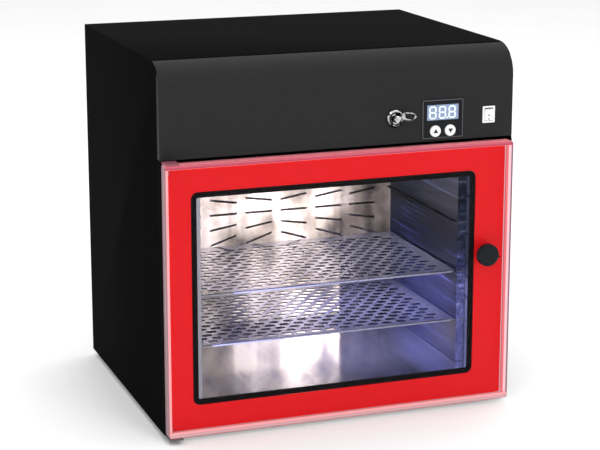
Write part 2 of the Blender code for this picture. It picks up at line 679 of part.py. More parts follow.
def make_control_board(floor):
    left, right, front, back = -0.190, -0.070, 0.060, 0.150
    level = floor + 0.006
    board = box("control_board", (left, right), (front, back), (level, level + 0.0016), "circuit_board")
    posts = [((x - 0.003, x + 0.003), (depth - 0.003, depth + 0.003), (floor, level + 0.0008))
             for x in (left + 0.006, right - 0.006) for depth in (front + 0.006, back - 0.006)]
    top = level + 0.0008
    chips = [((left + 0.012, left + 0.034), (0.075, 0.105), (top, top + 0.018)),
             ((left + 0.042, left + 0.060), (0.075, 0.093), (top, top + 0.012)),
             ((left + 0.042, left + 0.060), (0.104, 0.122), (top, top + 0.016)),
             ((left + 0.070, left + 0.096), (0.080, 0.100), (top, top + 0.004)),
             ((left + 0.070, left + 0.110), (0.126, 0.138), (top, top + 0.011))]
    return join(board, boxes("board_pieces", posts + chips))


def make_power_inlet():
    z = REAR_SOCKET_Z
    rear = CASE_DEPTH + INLET_PROUD
    body = box("power_inlet", (INLET_X - 0.0250, INLET_X + 0.0250), (CASE_DEPTH + GAP, rear),
               (z - 0.0140, z + 0.0140), "black_plastic")
    housing = boxes("inlet_housing", [((INLET_X - 0.0136, INLET_X + 0.0136), (0.3400, CASE_DEPTH + 0.001),
                                       (z - 0.0101, z + 0.0101))])
    hollow = boxes("inlet_hollow", [((INLET_X - 0.0120, INLET_X + 0.0120), (0.3450, rear + 0.01),
                                     (z - 0.0080, z + 0.0080))])
    pins = boxes("inlet_pins", [((INLET_X + x - 0.001, INLET_X + x + 0.001), (0.3440, 0.3560),
                                 (z - 0.002 + lift, z + 0.002 + lift))
                                for x, lift in ((-0.007, -0.0015), (0.0, 0.0025), (0.007, -0.0015))])
    join(body, housing)
    cut(body, hollow)
    join(body, pins)


def make_fuse_holder():
    rear = CASE_DEPTH + INLET_PROUD
    holder = turned("fuse_holder", [(0.0, 0.3350), (0.0060, 0.3350), (0.0060, CASE_DEPTH + GAP),
                                    (0.0085, CASE_DEPTH + GAP), (0.0085, rear - 0.0004), (0.0080, rear),
                                    (0.0, rear)][::-1], (FUSE_X, REAR_SOCKET_Z), "black_plastic", 28)
    return cut(holder, box("fuse_slot", (FUSE_X - 0.0050, FUSE_X + 0.0050), (rear - 0.0012, rear + 0.01),
                           (REAR_SOCKET_Z - 0.0006, REAR_SOCKET_Z + 0.0006)))


# ---- Controls -----------------------------------------------------------------------------------------
def make_key_lock():
    barrel = turned("key_lock_barrel", [(0.0068, 0.0260), (0.0090, 0.0260), (0.0090, -GAP), (0.0110, -GAP),
                                        (0.0110, -0.0025), (0.0102, -0.0035), (0.0068, -0.0035)],
                    (LOCK_X, LOCK_Z), "polished_chrome", 36)
    axis = pivot("key_axis", LOCK_X, 0.0, LOCK_Z)
    plug = cylinder("lock_plug", "Y", (LOCK_X, LOCK_Z), (-0.0030, 0.0240), 0.0065, "polished_chrome", 28)
    cut(plug, box("key_slot", (LOCK_X - 0.0039, LOCK_X + 0.0039), (-0.01, 0.0040),
                  (LOCK_Z - 0.0014, LOCK_Z + 0.0014)))
    hang(plug, axis)
    bow_depths = (-0.0115, -0.0093)
    bow = ellipse((LOCK_X + 0.0132, LOCK_Z + 0.0032), 0.0108, 0.0060)
    bow_hole = ellipse((LOCK_X + 0.0155, LOCK_Z + 0.0034), 0.0055, 0.0030)
    key = plate("key", "Y", [bow, bow_hole], bow_depths, "polished_chrome", (LOCK_X, y_at(0.0), LOCK_Z))
    collar = cylinder("key_collar", "Y", (LOCK_X, LOCK_Z), (-0.0113, -0.0060), 0.0048, sides=20)
    blade = box("key_blade", (LOCK_X - 0.0035, LOCK_X + 0.0035), (-0.0065, 0.0035),
                (LOCK_Z - 0.0010, LOCK_Z + 0.0010))
    join(key, collar, blade)
    hang(key, axis)
    return barrel


def make_controller():
    left, right = MODULE_X - MODULE_HALF_WIDTH, MODULE_X + MODULE_HALF_WIDTH
    bezel_outline = rounded_rectangle(left, right, MODULE_BOTTOM, MODULE_TOP, 0.0015, 2)
    body = plate("controller_body", "Y", [bezel_outline], (-0.0020, -GAP), "black_plastic")
    housing = box("controller_housing", (MODULE_X - 0.0250, MODULE_X + 0.0250), (-0.0008, 0.060),
                  (MODULE_BOTTOM + 0.0014, MODULE_TOP - 0.0012))
    join(body, housing)
    lens_hole = box("lens_recess", (MODULE_X - DISPLAY_HALF_WIDTH - GAP, MODULE_X + DISPLAY_HALF_WIDTH + GAP),
                    (-0.01, 0.0013), (DISPLAY_BOTTOM - GAP, DISPLAY_TOP + GAP))
    tools = [lens_hole]
    for name, x in (("up", MODULE_X - BUTTON_SPREAD), ("down", MODULE_X + BUTTON_SPREAD)):
        tools.append(cylinder(name + "_button_hole", "Y", (x, BUTTON_Z), (-0.01, 0.0030),
                              BUTTON_RADIUS + GAP, sides=28))
    cut(body, *tools)
    box("display_window", (MODULE_X - DISPLAY_HALF_WIDTH, MODULE_X + DISPLAY_HALF_WIDTH), (-0.0016, 0.0010),
        (DISPLAY_BOTTOM, DISPLAY_TOP), "display_lens")
    for name, x in (("up_button", MODULE_X - BUTTON_SPREAD), ("down_button", MODULE_X + BUTTON_SPREAD)):
        button = turned(name, [(0.0, 0.0020), (BUTTON_RADIUS, 0.0020), (BUTTON_RADIUS, -0.0028),
                               (BUTTON_RADIUS - 0.0006, -0.0034), (0.0, -0.0034)], (x, BUTTON_Z),
                        "white_plastic", 28)
        hang(button, pivot(name + "_slide", x, 0.0020, BUTTON_Z))


def make_rocker():
    x, z = ROCKER_X, ROCKER_Z
    bezel = rounded_rectangle(x - 0.0081, x + 0.0081, z - 0.0103, z + 0.0103, 0.001, 2)
    housing = plate("rocker_housing", "Y", [bezel], (-0.0018, -GAP), "white_plastic")
    join(housing, box("rocker_body", (x - 0.0069, x + 0.0069), (-0.0008, 0.0200), (z - 0.0093, z + 0.0093)))
    cut(housing, box("rocker_cavity", (x - 0.0059, x + 0.0059), (-0.01, 0.0090), (z - 0.0082, z + 0.0082)))
    tilt = math.radians(10)
    profile = [(-0.0036, -0.0072), (-0.0010, -0.0072), (0.0030, -0.0055), (0.0045, -0.0020),
               (0.0045, 0.0020), (0.0030, 0.0055), (-0.0010, 0.0072), (-0.0036, 0.0072), (-0.0022, 0.0)]
    turned_profile = [(d * math.cos(tilt) - h * math.sin(tilt), z + d * math.sin(tilt) + h * math.cos(tilt))
                      for d, h in profile]
    rocker = plate("rocker", "X", [turned_profile], (x - 0.0056, x + 0.0056), "white_plastic",
                   (x, y_at(0.0), z))
    hang(rocker, pivot("rocker_axis", x, 0.0, z))


# ---- Door ---------------------------------------------------------------------------------------------
def window_outline(inset, radius):
    return rounded_rectangle(WINDOW["left"] + inset, WINDOW["right"] - inset, WINDOW["bottom"] + inset,
                             WINDOW["top"] - inset, radius, 5)


def make_door(axis):
    cover_outline = rounded_rectangle(DOOR_LEFT, DOOR_RIGHT, DOOR_BOTTOM, DOOR_TOP, 0.003)
    cover = plate("door_cover", "Y", [cover_outline], (DOOR_FRONT, DOOR_BACK), "clear_acrylic",
                  (HINGE_X, y_at(HINGE_DEPTH), 0.0))
    pocket = rounded_rectangle(PANEL["left"] - GAP, PANEL["right"] + GAP, PANEL["bottom"] - GAP,
                               PANEL["top"] + GAP, 0.003)
    bores = []
    for name, z in (("top_bore", (DOOR_TOP - 0.012, DOOR_TOP + 0.01)),
                    ("bottom_bore", (DOOR_BOTTOM - 0.01, DOOR_BOTTOM + 0.012))):
        bores.append(cylinder(name, "Z", (HINGE_X, HINGE_DEPTH), z, 0.0023, sides=24))
    cut(cover, plate("panel_pocket", "Y", [pocket], (POCKET_FLOOR, 0.01)), *bores,
        cylinder("latch_bore", "Y", (LATCH_X, LATCH_Z), (DOOR_FRONT - 0.01, 0.01), LATCH_BORE_RADIUS,
                 sides=24))
    edge = rounded_rectangle(PANEL["left"], PANEL["right"], PANEL["bottom"], PANEL["top"], 0.003)
    latch_hole = circle((LATCH_X, LATCH_Z), LATCH_BORE_RADIUS)
    opening = window_outline(-GAP, WINDOW_RADIUS)
    origin = (HINGE_X, y_at(HINGE_DEPTH), 0.0)
    panel_back = POCKET_FLOOR + GAP + 0.0015
    panel = plate("door_panel", "Y", [edge, opening, latch_hole], (POCKET_FLOOR + GAP, panel_back),
                  "red_panel", origin)
    magnet = (0.100, 0.112, 0.3165, 0.3235)
    magnet_hole = rectangle(magnet[0] - GAP, magnet[1] + GAP, magnet[2] - GAP, magnet[3] + GAP)
    liner = plate("door_liner", "Y", [edge, opening, latch_hole, magnet_hole],
                  (panel_back + GAP, DOOR_BACK - GAP), "brushed_stainless", origin)
    gasket = plate("window_gasket", "Y", [window_outline(0.0, WINDOW_RADIUS), window_outline(WINDOW_BORDER, 0.004)],
                   (POCKET_FLOOR + GAP, POCKET_FLOOR + 0.0023), "black_rubber", origin)
    glass = plate("window_glass", "Y", [window_outline(GAP, WINDOW_RADIUS)],
                  (POCKET_FLOOR + 0.0026, DOOR_BACK - 0.0004), "clear_glass", origin)
    block = box("door_magnet", magnet[:2], (panel_back + 0.0006, DOOR_BACK - 0.0006), magnet[2:],
                "galvanised_steel")
    pins = [cylinder("hinge_pin_top", "Z", (HINGE_X, HINGE_DEPTH), (DOOR_TOP - 0.0115, 0.3420), 0.002,
                     "polished_chrome", 20),
            cylinder("hinge_pin_bottom", "Z", (HINGE_X, HINGE_DEPTH), (0.0062, DOOR_BOTTOM + 0.0115), 0.002,
                     "polished_chrome", 20)]
    for obj in (cover, panel, liner, gasket, glass, block, *pins):
        hang(obj, axis)


def make_hinge_brackets():
    x = (HINGE_X - 0.004, HINGE_X + 0.013)
    front = HINGE_DEPTH - 0.006
    hole_radius = 0.0024
    top = box("hinge_bracket_top", x, (front, 0.0036), (0.3406, 0.3421), "black_powder_coat")
    join(top, box("top_bracket_leg", x, (FRAME_SHEET + GAP, 0.0036), (0.3180, 0.3415)))
    cut(top, cylinder("top_bracket_hole", "Z", (HINGE_X, HINGE_DEPTH), (0.330, 0.350), hole_radius, sides=24))
    bottom = box("hinge_bracket_bottom", x, (front, 0.030), (0.0060, CASE_BOTTOM - GAP),
                 "black_powder_coat")
    cut(bottom, cylinder("bottom_bracket_hole", "Z", (HINGE_X, HINGE_DEPTH), (0.0, 0.010), hole_radius,
                         sides=24))


def make_latch(door_axis):
    axis = pivot("latch_axis", LATCH_X, DOOR_FRONT, LATCH_Z, door_axis)
    bottom = DOOR_FRONT - GAP
    knob = turned("latch_knob", [(0.0, bottom), (KNOB_RADIUS - 0.0005, bottom), (KNOB_RADIUS, bottom - 0.0008),
                                 (KNOB_RADIUS, KNOB_FACE + 0.0018), (KNOB_RADIUS - 0.0016, KNOB_FACE),
                                 (0.0, KNOB_FACE)], (LATCH_X, LATCH_Z), "black_plastic", 44)
    tip = KNOB_RADIUS + 0.0026
    root = LATCH_X + KNOB_RADIUS - 0.0018
    pointer = [(LATCH_X + tip, LATCH_Z - POINTER_DROP), (root, LATCH_Z - POINTER_DROP + 0.0024),
               (root, LATCH_Z - POINTER_DROP - 0.0024)]
    join(knob, plate("knob_pointer", "Y", [pointer], (KNOB_FACE + 0.0020, KNOB_FACE + 0.0042)))
    cut(knob, cylinder("knob_bore", "Y", (LATCH_X, LATCH_Z), (bottom - 0.005, bottom + 0.01),
                       LATCH_SHAFT_RADIUS + GAP, sides=24))
    shaft = cylinder("latch_shaft", "Y", (LATCH_X, LATCH_Z), (bottom - 0.0047, 0.0058), LATCH_SHAFT_RADIUS,
                     "polished_chrome", 24)
    spread = math.degrees(math.asin(CAM_HALF_WIDTH / CAM_HUB_RADIUS))
    outline = arc((LATCH_X, LATCH_Z), CAM_HUB_RADIUS, 90 + spread, 450 - spread, 20)
    outline += [(LATCH_X + CAM_HALF_WIDTH, LATCH_Z + CAM_REACH - 0.001),
                (LATCH_X + CAM_HALF_WIDTH - 0.001, LATCH_Z + CAM_REACH),
                (LATCH_X - CAM_HALF_WIDTH + 0.001, LATCH_Z + CAM_REACH),
                (LATCH_X - CAM_HALF_WIDTH, LATCH_Z + CAM_REACH - 0.001)]
    cam = plate("latch_cam", "Y", [outline, circle((LATCH_X, LATCH_Z), LATCH_SHAFT_RADIUS + GAP)],
                (0.0032, 0.0057), "galvanised_steel", (LATCH_X, y_at(0.0032), LATCH_Z))
    for obj in (knob, shaft, cam):
        hang(obj, axis)


def make_latch_keeper():
    left, right = LATCH_X - 0.0062, LATCH_X + 0.0210
    bottom, top = LATCH_Z - 0.0080, LATCH_Z + 0.0220
    keeper = box("latch_keeper", (left, right), (FRAME_SHEET + GAP, 0.0160), (bottom, top), "black_plastic")
    return cut(keeper, box("keeper_hollow", (left + 0.001, right - 0.001), (0.0, 0.0150),
                           (bottom + 0.001, top - 0.001)))


def make_door_seal():
    outer = rounded_rectangle(-0.2005, 0.2005, 0.0160, 0.3200, 0.006)
    inner = rounded_rectangle(-0.1940, 0.1940, 0.0225, 0.3135, 0.002)
    plate("door_seal", "Y", [outer, inner], (DOOR_BACK + 0.0004, -GAP), "grey_silicone")


def make_door_sensor():
    box("door_sensor", (0.099, 0.113), (FRAME_SHEET + GAP, 0.0090), (0.3130, 0.3210), "black_plastic")


def main():
    make_wrapper()
    make_fascia()
    make_base()
    make_rear_panel()
    make_front_frame()
    make_chamber_liner()
    make_insulation()
    make_electronics_deck()
    make_feet()
    make_baffle()
    make_racks()
    for name, level in (("shelf_lower", LEDGE_LEVELS[0]), ("shelf_upper", LEDGE_LEVELS[1])):
        make_shelf(name, level)
    make_heater()
    make_probe()
    make_lamp()
    make_fan()
    make_electronics()
    make_power_inlet()
    make_fuse_holder()
    make_key_lock()
    make_controller()
    make_rocker()
    door_axis = pivot("door_axis", HINGE_X, HINGE_DEPTH, 0.0)
    make_door(door_axis)
    make_hinge_brackets()
    make_latch(door_axis)
    make_latch_keeper()
    make_door_seal()
    make_door_sensor()


clear_scene()
PARTS = new_collection("laboratory_incubator")
CUTTERS = new_collection("cutters")
main()
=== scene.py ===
"""The looks of the laboratory incubator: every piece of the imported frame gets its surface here, and the
pieces whose solids are too plain to look at are replaced by finer ones. Lengths are in metres, +Z is up,
and "depth" is the distance behind the cabinet's front plane, as in the part's own source."""

import json
import math

import bmesh
import bpy
from mathutils import Matrix, Vector


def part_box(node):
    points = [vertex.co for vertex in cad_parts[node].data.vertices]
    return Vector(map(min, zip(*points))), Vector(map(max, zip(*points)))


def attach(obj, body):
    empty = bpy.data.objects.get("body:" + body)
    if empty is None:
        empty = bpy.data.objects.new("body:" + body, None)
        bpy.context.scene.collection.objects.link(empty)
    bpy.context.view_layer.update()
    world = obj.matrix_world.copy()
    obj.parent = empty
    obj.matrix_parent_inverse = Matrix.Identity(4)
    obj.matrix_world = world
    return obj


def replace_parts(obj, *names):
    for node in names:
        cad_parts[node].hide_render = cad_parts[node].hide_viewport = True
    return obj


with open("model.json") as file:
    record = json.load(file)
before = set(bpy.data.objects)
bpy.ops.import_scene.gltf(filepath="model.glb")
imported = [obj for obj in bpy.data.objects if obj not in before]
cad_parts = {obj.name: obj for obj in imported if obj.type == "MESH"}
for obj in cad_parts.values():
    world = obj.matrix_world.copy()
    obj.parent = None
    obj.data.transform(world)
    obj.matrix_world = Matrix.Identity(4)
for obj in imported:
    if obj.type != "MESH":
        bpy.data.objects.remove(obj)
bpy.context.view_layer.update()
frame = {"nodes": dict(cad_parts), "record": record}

# ---- Places and sizes shared with the part ------------------------------------------------------------
FACE_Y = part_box("front_frame")[0].y
SHEET = 0.0012
CURVE_DEPTH = 0.042
CURVE_DROP = 0.036
SEAM_DEPTH = 0.033
SIDE_EDGE_DEPTH = 0.010
FASCIA_SHEET = 0.0020
MOUTH_HALF_WIDTH = 0.1775
# Free space between two pieces that fit into each other
FIT_GAP = 0.0003
# Edges sharper than these angles stay sharp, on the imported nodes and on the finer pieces
NODE_SHARP_ANGLE = math.radians(32)
PIECE_SHARP_ANGLE = math.radians(35)
SLOT_OF = {part["node"]: part["material_slot"] for part in frame["record"]["subparts"]}

# ---- Camera -------------------------------------------------------------------------------------------
CAMERA_PLACE = (-0.773, -2.156, 0.782)
CAMERA_YAW = math.radians(19.91)
CAMERA_PITCH = math.radians(-13.11)
CAMERA_LENS = 109.4
CAMERA_SHIFT_Y = -0.05


def y_at(depth):
    return FACE_Y + depth


def limits(name):
    """(left, right), (front depth, back depth) and (bottom, top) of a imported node."""
    low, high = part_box(name)
    return (low.x, high.x), (low.y - FACE_Y, high.y - FACE_Y), (low.z, high.z)


def centre(name):
    """(x, z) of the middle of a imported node."""
    (left, right), _, (bottom, top) = limits(name)
    return (left + right) / 2, (bottom + top) / 2


# ---- Materials ----------------------------------------------------------------------------------------
# Painted light on the clear cover's edges: the pink light that they carry from the red panel, and the
# grey-mauve reflection on their sides and outer edges
PAINTED_PINK_LIGHT = (1.0, 0.40, 0.42)
PAINTED_MAUVE_REFLECTION = (0.30, 0.18, 0.20)
# Each finish: colour, roughness, metallic value, specular level, grain size per metre along X, Y and Z, how
# much the grain changes the colour and the roughness, and the height of its bumps. One number stands for
# three equal ones.
FINISHES = {
    "black_powder_coat": (0.0045, 0.50, 0.0, 0.0004, 900, 0.30, 0.10, 0.00006),
    "charcoal_paint": (0.025, 0.45, 0.0, 0.03, 800, 0.10, 0.06, 0.00003),
    "black_plastic": ((0.008, 0.009, 0.011), 0.36, 0.0, 0.12, 1500, 0.20, 0.08, 0.00003),
    "black_rubber": ((0.004, 0.0035, 0.004), 0.60, 0.0, 0.07, 700, 0.30, 0.12, 0.00006),
    "red_panel": ((0.67, 0.0070, 0.0105), 0.35, 0.0, 0.10, 900, 0.02, 0.04, 0.00001),
    "brushed_stainless": ((0.52, 0.52, 0.56), 0.26, 0.70, 0.5, (700, 20, 700), 0.06, 0.08, 0.000004),
    "shelf_steel": ((0.50, 0.50, 0.53), 0.17, 0.74, 0.5, (60, 6, 60), 0.10, 0.06, 0.000002),
    "liner_steel": ((0.64, 0.64, 0.68), 0.14, 0.90, 0.5, (110, 5, 110), 0.12, 0.06, 0.000002),
    "baffle_steel": ((0.82, 0.72, 0.61), 0.42, 0.30, 0.5, (70, 70, 5), 0.26, 0.12, 0.000004),
    # The racks' dark blue-grey colour is painted shade on the same steel as the chamber's
    "rack_steel_painted_shade": ((0.17, 0.17, 0.22), 0.34, 0.35, 0.2, (300, 6, 160), 0.40, 0.10, 0.000004),
    # Near-black walls of the shelves' holes: painted shade inside the holes
    "hole_wall_painted_shade": ((0.020, 0.020, 0.030), 0.55, 0.30, 0.3, 900, 0.20, 0.06, 0.00001),
    "trim_steel": (0.70, 0.42, 0.20, 0.5, 300, 0.06, 0.08, 0.000004),
    # The top hinge bracket's mauve-red is partly its own colour and partly painted red light from the clear
    # cover's edges; the hinge pins' red is painted red light, seen through the cover
    "bracket_mauve_and_painted_red_light": ((0.30, 0.09, 0.12), 0.45, 0.0, 0.3, 400, 0.10, 0.10, 0.00001),
    # The bottom hinge bracket's mid grey is painted shade, as dark as the shadow under the door's corner
    "bracket_grey_painted_shade": ((0.13, 0.12, 0.13), 0.50, 0.0, 0.1, 400, 0.10, 0.10, 0.00001),
    "pin_steel_painted_red_light": ((0.52, 0.13, 0.16), 0.30, 0.40, 0.3, 400, 0.10, 0.10, 0.00001),
    "galvanised_steel": ((0.40, 0.41, 0.42), 0.46, 1.0, 0.5, 90, 0.22, 0.18, 0.00004),
    "polished_chrome": ((0.78, 0.78, 0.80), 0.09, 1.0, 0.5, 300, 0.04, 0.06, 0.00001),
    "white_plastic": ((0.86, 0.86, 0.85), 0.34, 0.0, 0.4, 900, 0.02, 0.06, 0.00002),
    "mineral_wool": ((0.60, 0.52, 0.34), 0.95, 0.0, 0.2, (500, 160, 160), 0.35, 0.04, 0.00060),
    "aluminium": ((0.72, 0.73, 0.74), 0.30, 1.0, 0.5, (30, 700, 700), 0.08, 0.12, 0.00002),
    "circuit_board": ((0.020, 0.110, 0.040), 0.45, 0.0, 0.4, 600, 0.40, 0.12, 0.00005),
    "lamp_glass": ((0.80, 0.82, 0.95), 0.18, 0.0, 0.5, (200, 900, 900), 0.05, 0.06, 0.00001),
    "white_ceramic": ((0.84, 0.84, 0.82), 0.32, 0.0, 0.4, 500, 0.05, 0.08, 0.00004),
    "grey_silicone": ((0.28, 0.28, 0.29), 0.60, 0.0, 0.3, 900, 0.12, 0.10, 0.00005),
    # The clear cover's edges and margin: their colours are painted light and painted reflections
    "acrylic_rim": (PAINTED_MAUVE_REFLECTION, 0.30, 0.0, 0.08, 120, 0.08, 0.06, 0.00002),
    "acrylic_margin": (PAINTED_PINK_LIGHT, 0.30, 0.0, 0.1, 200, 0.06, 0.06, 0.00001),
    "display_lens": ((0.19, 0.24, 0.36), 0.35, 0.0, 0.3, 500, 0.06, 0.05, 0.00001),
    "display_digits": ((0.72, 0.82, 0.86), 0.35, 0.0, 0.3, 500, 0.06, 0.05, 0.00001),
    "dark_print": ((0.012, 0.012, 0.014), 0.5, 0.0, 0.2, 900, 0.2, 0.06, 0.00001),
    "grey_print": ((0.10, 0.10, 0.11), 0.5, 0.0, 0.2, 900, 0.1, 0.06, 0.00001),
    "pale_floor": (0.86, 0.6, 0.0, 0.2, 3, 0.01, 0.04, 0.0001),
}
# Strength of the clear coat and of the glow, on the finishes that have one
COATS = {"circuit_board": 0.2, "lamp_glass": 0.3, "white_ceramic": 0.2}
GLOWS = {"display_lens": 0.45, "display_digits": 0.35}
# Painted light and shade on the chamber's steel, on the racks and on the racks' front flanges, as tones
# from bottom to top:
# a floor with painted light, sides with painted shade above the lower shelf, where nothing bright stands
# opposite them, and painted highlights on the flanges
LINER_PAINTED_LIGHT = [(0.0, 1.5), (0.02, (1.6, 1.6, 1.7)), (0.40, (1.5, 1.5, 1.6)), (0.50, (0.40, 0.40, 0.42)),
               (1.0, 0.9)]
RACK_PAINTED_LIGHT = [(0.0, (0.35, 0.39, 0.64)), (0.42, (0.40, 0.44, 0.68)), (0.50, (0.14, 0.22, 0.60)),
              (0.70, (0.07, 0.12, 0.18)), (0.88, (0.32, 0.50, 0.68)), (1.0, (0.20, 0.23, 0.27))]
FLANGE_PAINTED_LIGHT = [(0.0, (3.6, 3.9, 4.5)), (0.42, (3.3, 3.6, 4.4)), (0.50, (1.7, 2.0, 3.0)),
                (0.60, (1.7, 2.2, 2.2)), (0.78, (0.5, 0.7, 0.8)), (1.0, (1.5, 1.5, 1.3))]
# Nodes whose finish is finer than their material slot says; the racks' and the hinge parts' finishes hold
# painted light and shade
FINISH_OF = {"chamber_liner": "liner_steel", "rear_baffle": "baffle_steel", "shelf_rack_left": "rack_steel_painted_shade",
             "shelf_rack_right": "rack_steel_painted_shade",
             "hinge_pin_top": "pin_steel_painted_red_light", "hinge_pin_bottom": "pin_steel_painted_red_light",
             "hinge_bracket_top": "bracket_mauve_and_painted_red_light", "hinge_bracket_bottom": "bracket_grey_painted_shade",
             "rear_panel": "charcoal_paint"}
# How far the clear cover's border, painted with the light and reflections that its edges show, reaches in
# from each side of the door
BORDER = {"left": 0.0036, "right": 0.0088, "bottom": 0.0076, "top": 0.0050}
# The range that most of a noise texture's values lie in
NOISE_RANGE = (0.3, 0.7)
COAT_ROUGHNESS = 0.12
BUMP_STRENGTH = 0.6


def triple(value):
    return value if isinstance(value, tuple) else (value, value, value)


def node(tree, kind, **settings):
    made = tree.nodes.new(kind)
    for name, value in settings.items():
        setattr(made, name, value)
    return made


def grain(tree, scale, detail=4.0):
    """Noise in object space, stretched by scale, as a value from 0 to 1."""
    place = node(tree, "ShaderNodeTexCoord")
    mapping = node(tree, "ShaderNodeMapping")
    mapping.inputs["Scale"].default_value = triple(scale)
    noise = node(tree, "ShaderNodeTexNoise")
    noise.inputs["Scale"].default_value = 1.0
    noise.inputs["Detail"].default_value = detail
    tree.links.new(place.outputs["Object"], mapping.inputs["Vector"])
    tree.links.new(mapping.outputs["Vector"], noise.inputs["Vector"])
    return noise.outputs["Fac"]


def remap(tree, value, source, target=(0.0, 1.0), shape="LINEAR"):
    """value moved from one range to another, and held at that range's ends."""
    made = node(tree, "ShaderNodeMapRange", interpolation_type=shape)
    for name, number in zip(("From Min", "From Max", "To Min", "To Max"), (*source, *target)):
        made.inputs[name].default_value = number
    tree.links.new(value, made.inputs["Value"])
    return made.outputs["Result"]


def step(tree, value, start, end):
    """0 where value is below start and 1 above end; the other way round where start is above end."""
    target = (0.0, 1.0) if start < end else (1.0, 0.0)
    return remap(tree, value, sorted((start, end)), target, "SMOOTHSTEP")


def component(tree, output, axis):
    """A texture coordinate's X, Y or Z."""
    place = node(tree, "ShaderNodeTexCoord")
    parts = node(tree, "ShaderNodeSeparateXYZ")
    tree.links.new(place.outputs[output], parts.inputs["Vector"])
    return parts.outputs[axis]


def along(tree, output, axis, start, end):
    """A texture coordinate's X, Y or Z, from 0 at start to 1 at end."""
    return remap(tree, component(tree, output, axis), (start, end))


def calculate(tree, operation, *values):
    made = node(tree, "ShaderNodeMath", operation=operation)
    for socket, value in zip(made.inputs, values):
        if isinstance(value, float):
            socket.default_value = value
        else:
            tree.links.new(value, socket)
    return made.outputs["Value"]


def ramp(tree, value, stops):
    """A colour that follows value along the stops, each a (position, colour) pair."""
    made = node(tree, "ShaderNodeValToRGB")
    elements = made.color_ramp.elements
    while len(elements) < len(stops):
        elements.new(0.5)
    for element, (position, colour) in zip(elements, stops):
        element.position = position
        element.color = (*triple(colour), 1.0)
    tree.links.new(value, made.inputs["Fac"])
    return made.outputs["Color"]


def mixed(tree, first, second, factor, blend="MIX"):
    """second laid over first, by factor. The node's colours are its inputs 6 and 7 and its output 2."""
    made = node(tree, "ShaderNodeMix", data_type="RGBA", blend_type=blend)
    tree.links.new(first, made.inputs[6])
    tree.links.new(second, made.inputs[7])
    if isinstance(factor, float):
        made.inputs[0].default_value = factor
    else:
        tree.links.new(factor, made.inputs[0])
    return made.outputs[2]


def tint(tree, colour, factor=1.0, blend="MULTIPLY"):
    """Lays colour over the base colour that the shader has so far."""
    base = tree.nodes["Principled BSDF"].inputs["Base Color"]
    tree.links.new(mixed(tree, base.links[0].from_socket, colour, factor, blend), base)


def finish_material(name):
    colour, roughness, metallic, specular, scale, change, rough_change, height = FINISHES[name]
    material = bpy.data.materials.new(name)
    material.use_nodes = True
    tree = material.node_tree
    shader = tree.nodes["Principled BSDF"]
    shader.inputs["Metallic"].default_value = metallic
    shader.inputs["Specular IOR Level"].default_value = specular
    if name in COATS:
        shader.inputs["Coat Weight"].default_value = COATS[name]
        shader.inputs["Coat Roughness"].default_value = COAT_ROUGHNESS
    if name in GLOWS:
        shader.inputs["Emission Color"].default_value = (*triple(colour), 1.0)
        shader.inputs["Emission Strength"].default_value = GLOWS[name]
    value = grain(tree, scale)
    shades = [(position, tuple(min(1.0, part * factor) for part in triple(colour)))
              for position, factor in zip(NOISE_RANGE, (1 - change, 1 + change))]
    tree.links.new(ramp(tree, value, shades), shader.inputs["Base Color"])
    rough_range = (roughness - rough_change / 2, roughness + rough_change / 2)
    tree.links.new(remap(tree, value, NOISE_RANGE, rough_range), shader.inputs["Roughness"])
    bump = node(tree, "ShaderNodeBump")
    bump.inputs["Distance"].default_value = height
    bump.inputs["Strength"].default_value = BUMP_STRENGTH
    tree.links.new(value, bump.inputs["Height"])
    tree.links.new(bump.outputs["Normal"], shader.inputs["Normal"])
    return material


def clear_material(name, clearness, gloss_roughness, ior):
    """A clear sheet seen straight through, with a fresnel gloss whose roughness has faint smears."""
    material = bpy.data.materials.new(name)
    material.use_nodes = True
    tree = material.node_tree
    tree.nodes.remove(tree.nodes["Principled BSDF"])
    through = node(tree, "ShaderNodeBsdfTransparent")
    through.inputs["Color"].default_value = (*clearness, 1.0)
    gloss = node(tree, "ShaderNodeBsdfGlossy")
    rough_range = (gloss_roughness, gloss_roughness + 0.05)
    rough = remap(tree, grain(tree, (14, 14, 5), 2.0), NOISE_RANGE, rough_range)
    tree.links.new(rough, gloss.inputs["Roughness"])
    fresnel = node(tree, "ShaderNodeFresnel")
    fresnel.inputs["IOR"].default_value = ior
    mix = node(tree, "ShaderNodeMixShader")
    tree.links.new(fresnel.outputs["Fac"], mix.inputs["Fac"])
    tree.links.new(through.outputs["BSDF"], mix.inputs[1])
    tree.links.new(gloss.outputs["BSDF"], mix.inputs[2])
    tree.links.new(mix.outputs["Shader"], tree.nodes["Material Output"].inputs["Surface"])
    return material


def paint_light_by_height(tree, tones, front_tones=None):
    """Paints light and shade: multiplies the base colour by a tone that follows the piece's height, from 0
    at its bottom to 1 at its top. Faces that look forward or back can have painted light and shade of their
    own."""
    height = along(tree, "Generated", "Z", 0.0, 1.0)
    tone = ramp(tree, height, tones)
    if front_tones:
        facing = calculate(tree, "ABSOLUTE", component(tree, "Normal", "Y"))
        tone = mixed(tree, tone, ramp(tree, height, front_tones), facing)
    tint(tree, tone)


def dress_liner(tree):
    """Brushed walls, and a floor and a ceiling polished enough to mirror the baffle, with painted light and
    shade by height.
    """
    shader = tree.nodes["Principled BSDF"]
    level = calculate(tree, "ABSOLUTE", component(tree, "Normal", "Z"))
    rough = shader.inputs["Roughness"].links[0].from_node
    for name, wall, floor in (("To Min", 0.26, 0.09), ("To Max", 0.34, 0.17)):
        tree.links.new(remap(tree, level, (0.0, 1.0), (wall, floor)), rough.inputs[name])
    tree.links.new(remap(tree, level, (0.0, 1.0), (0.45, 0.95)), shader.inputs["Metallic"])
    paint_light_by_height(tree, LINER_PAINTED_LIGHT)


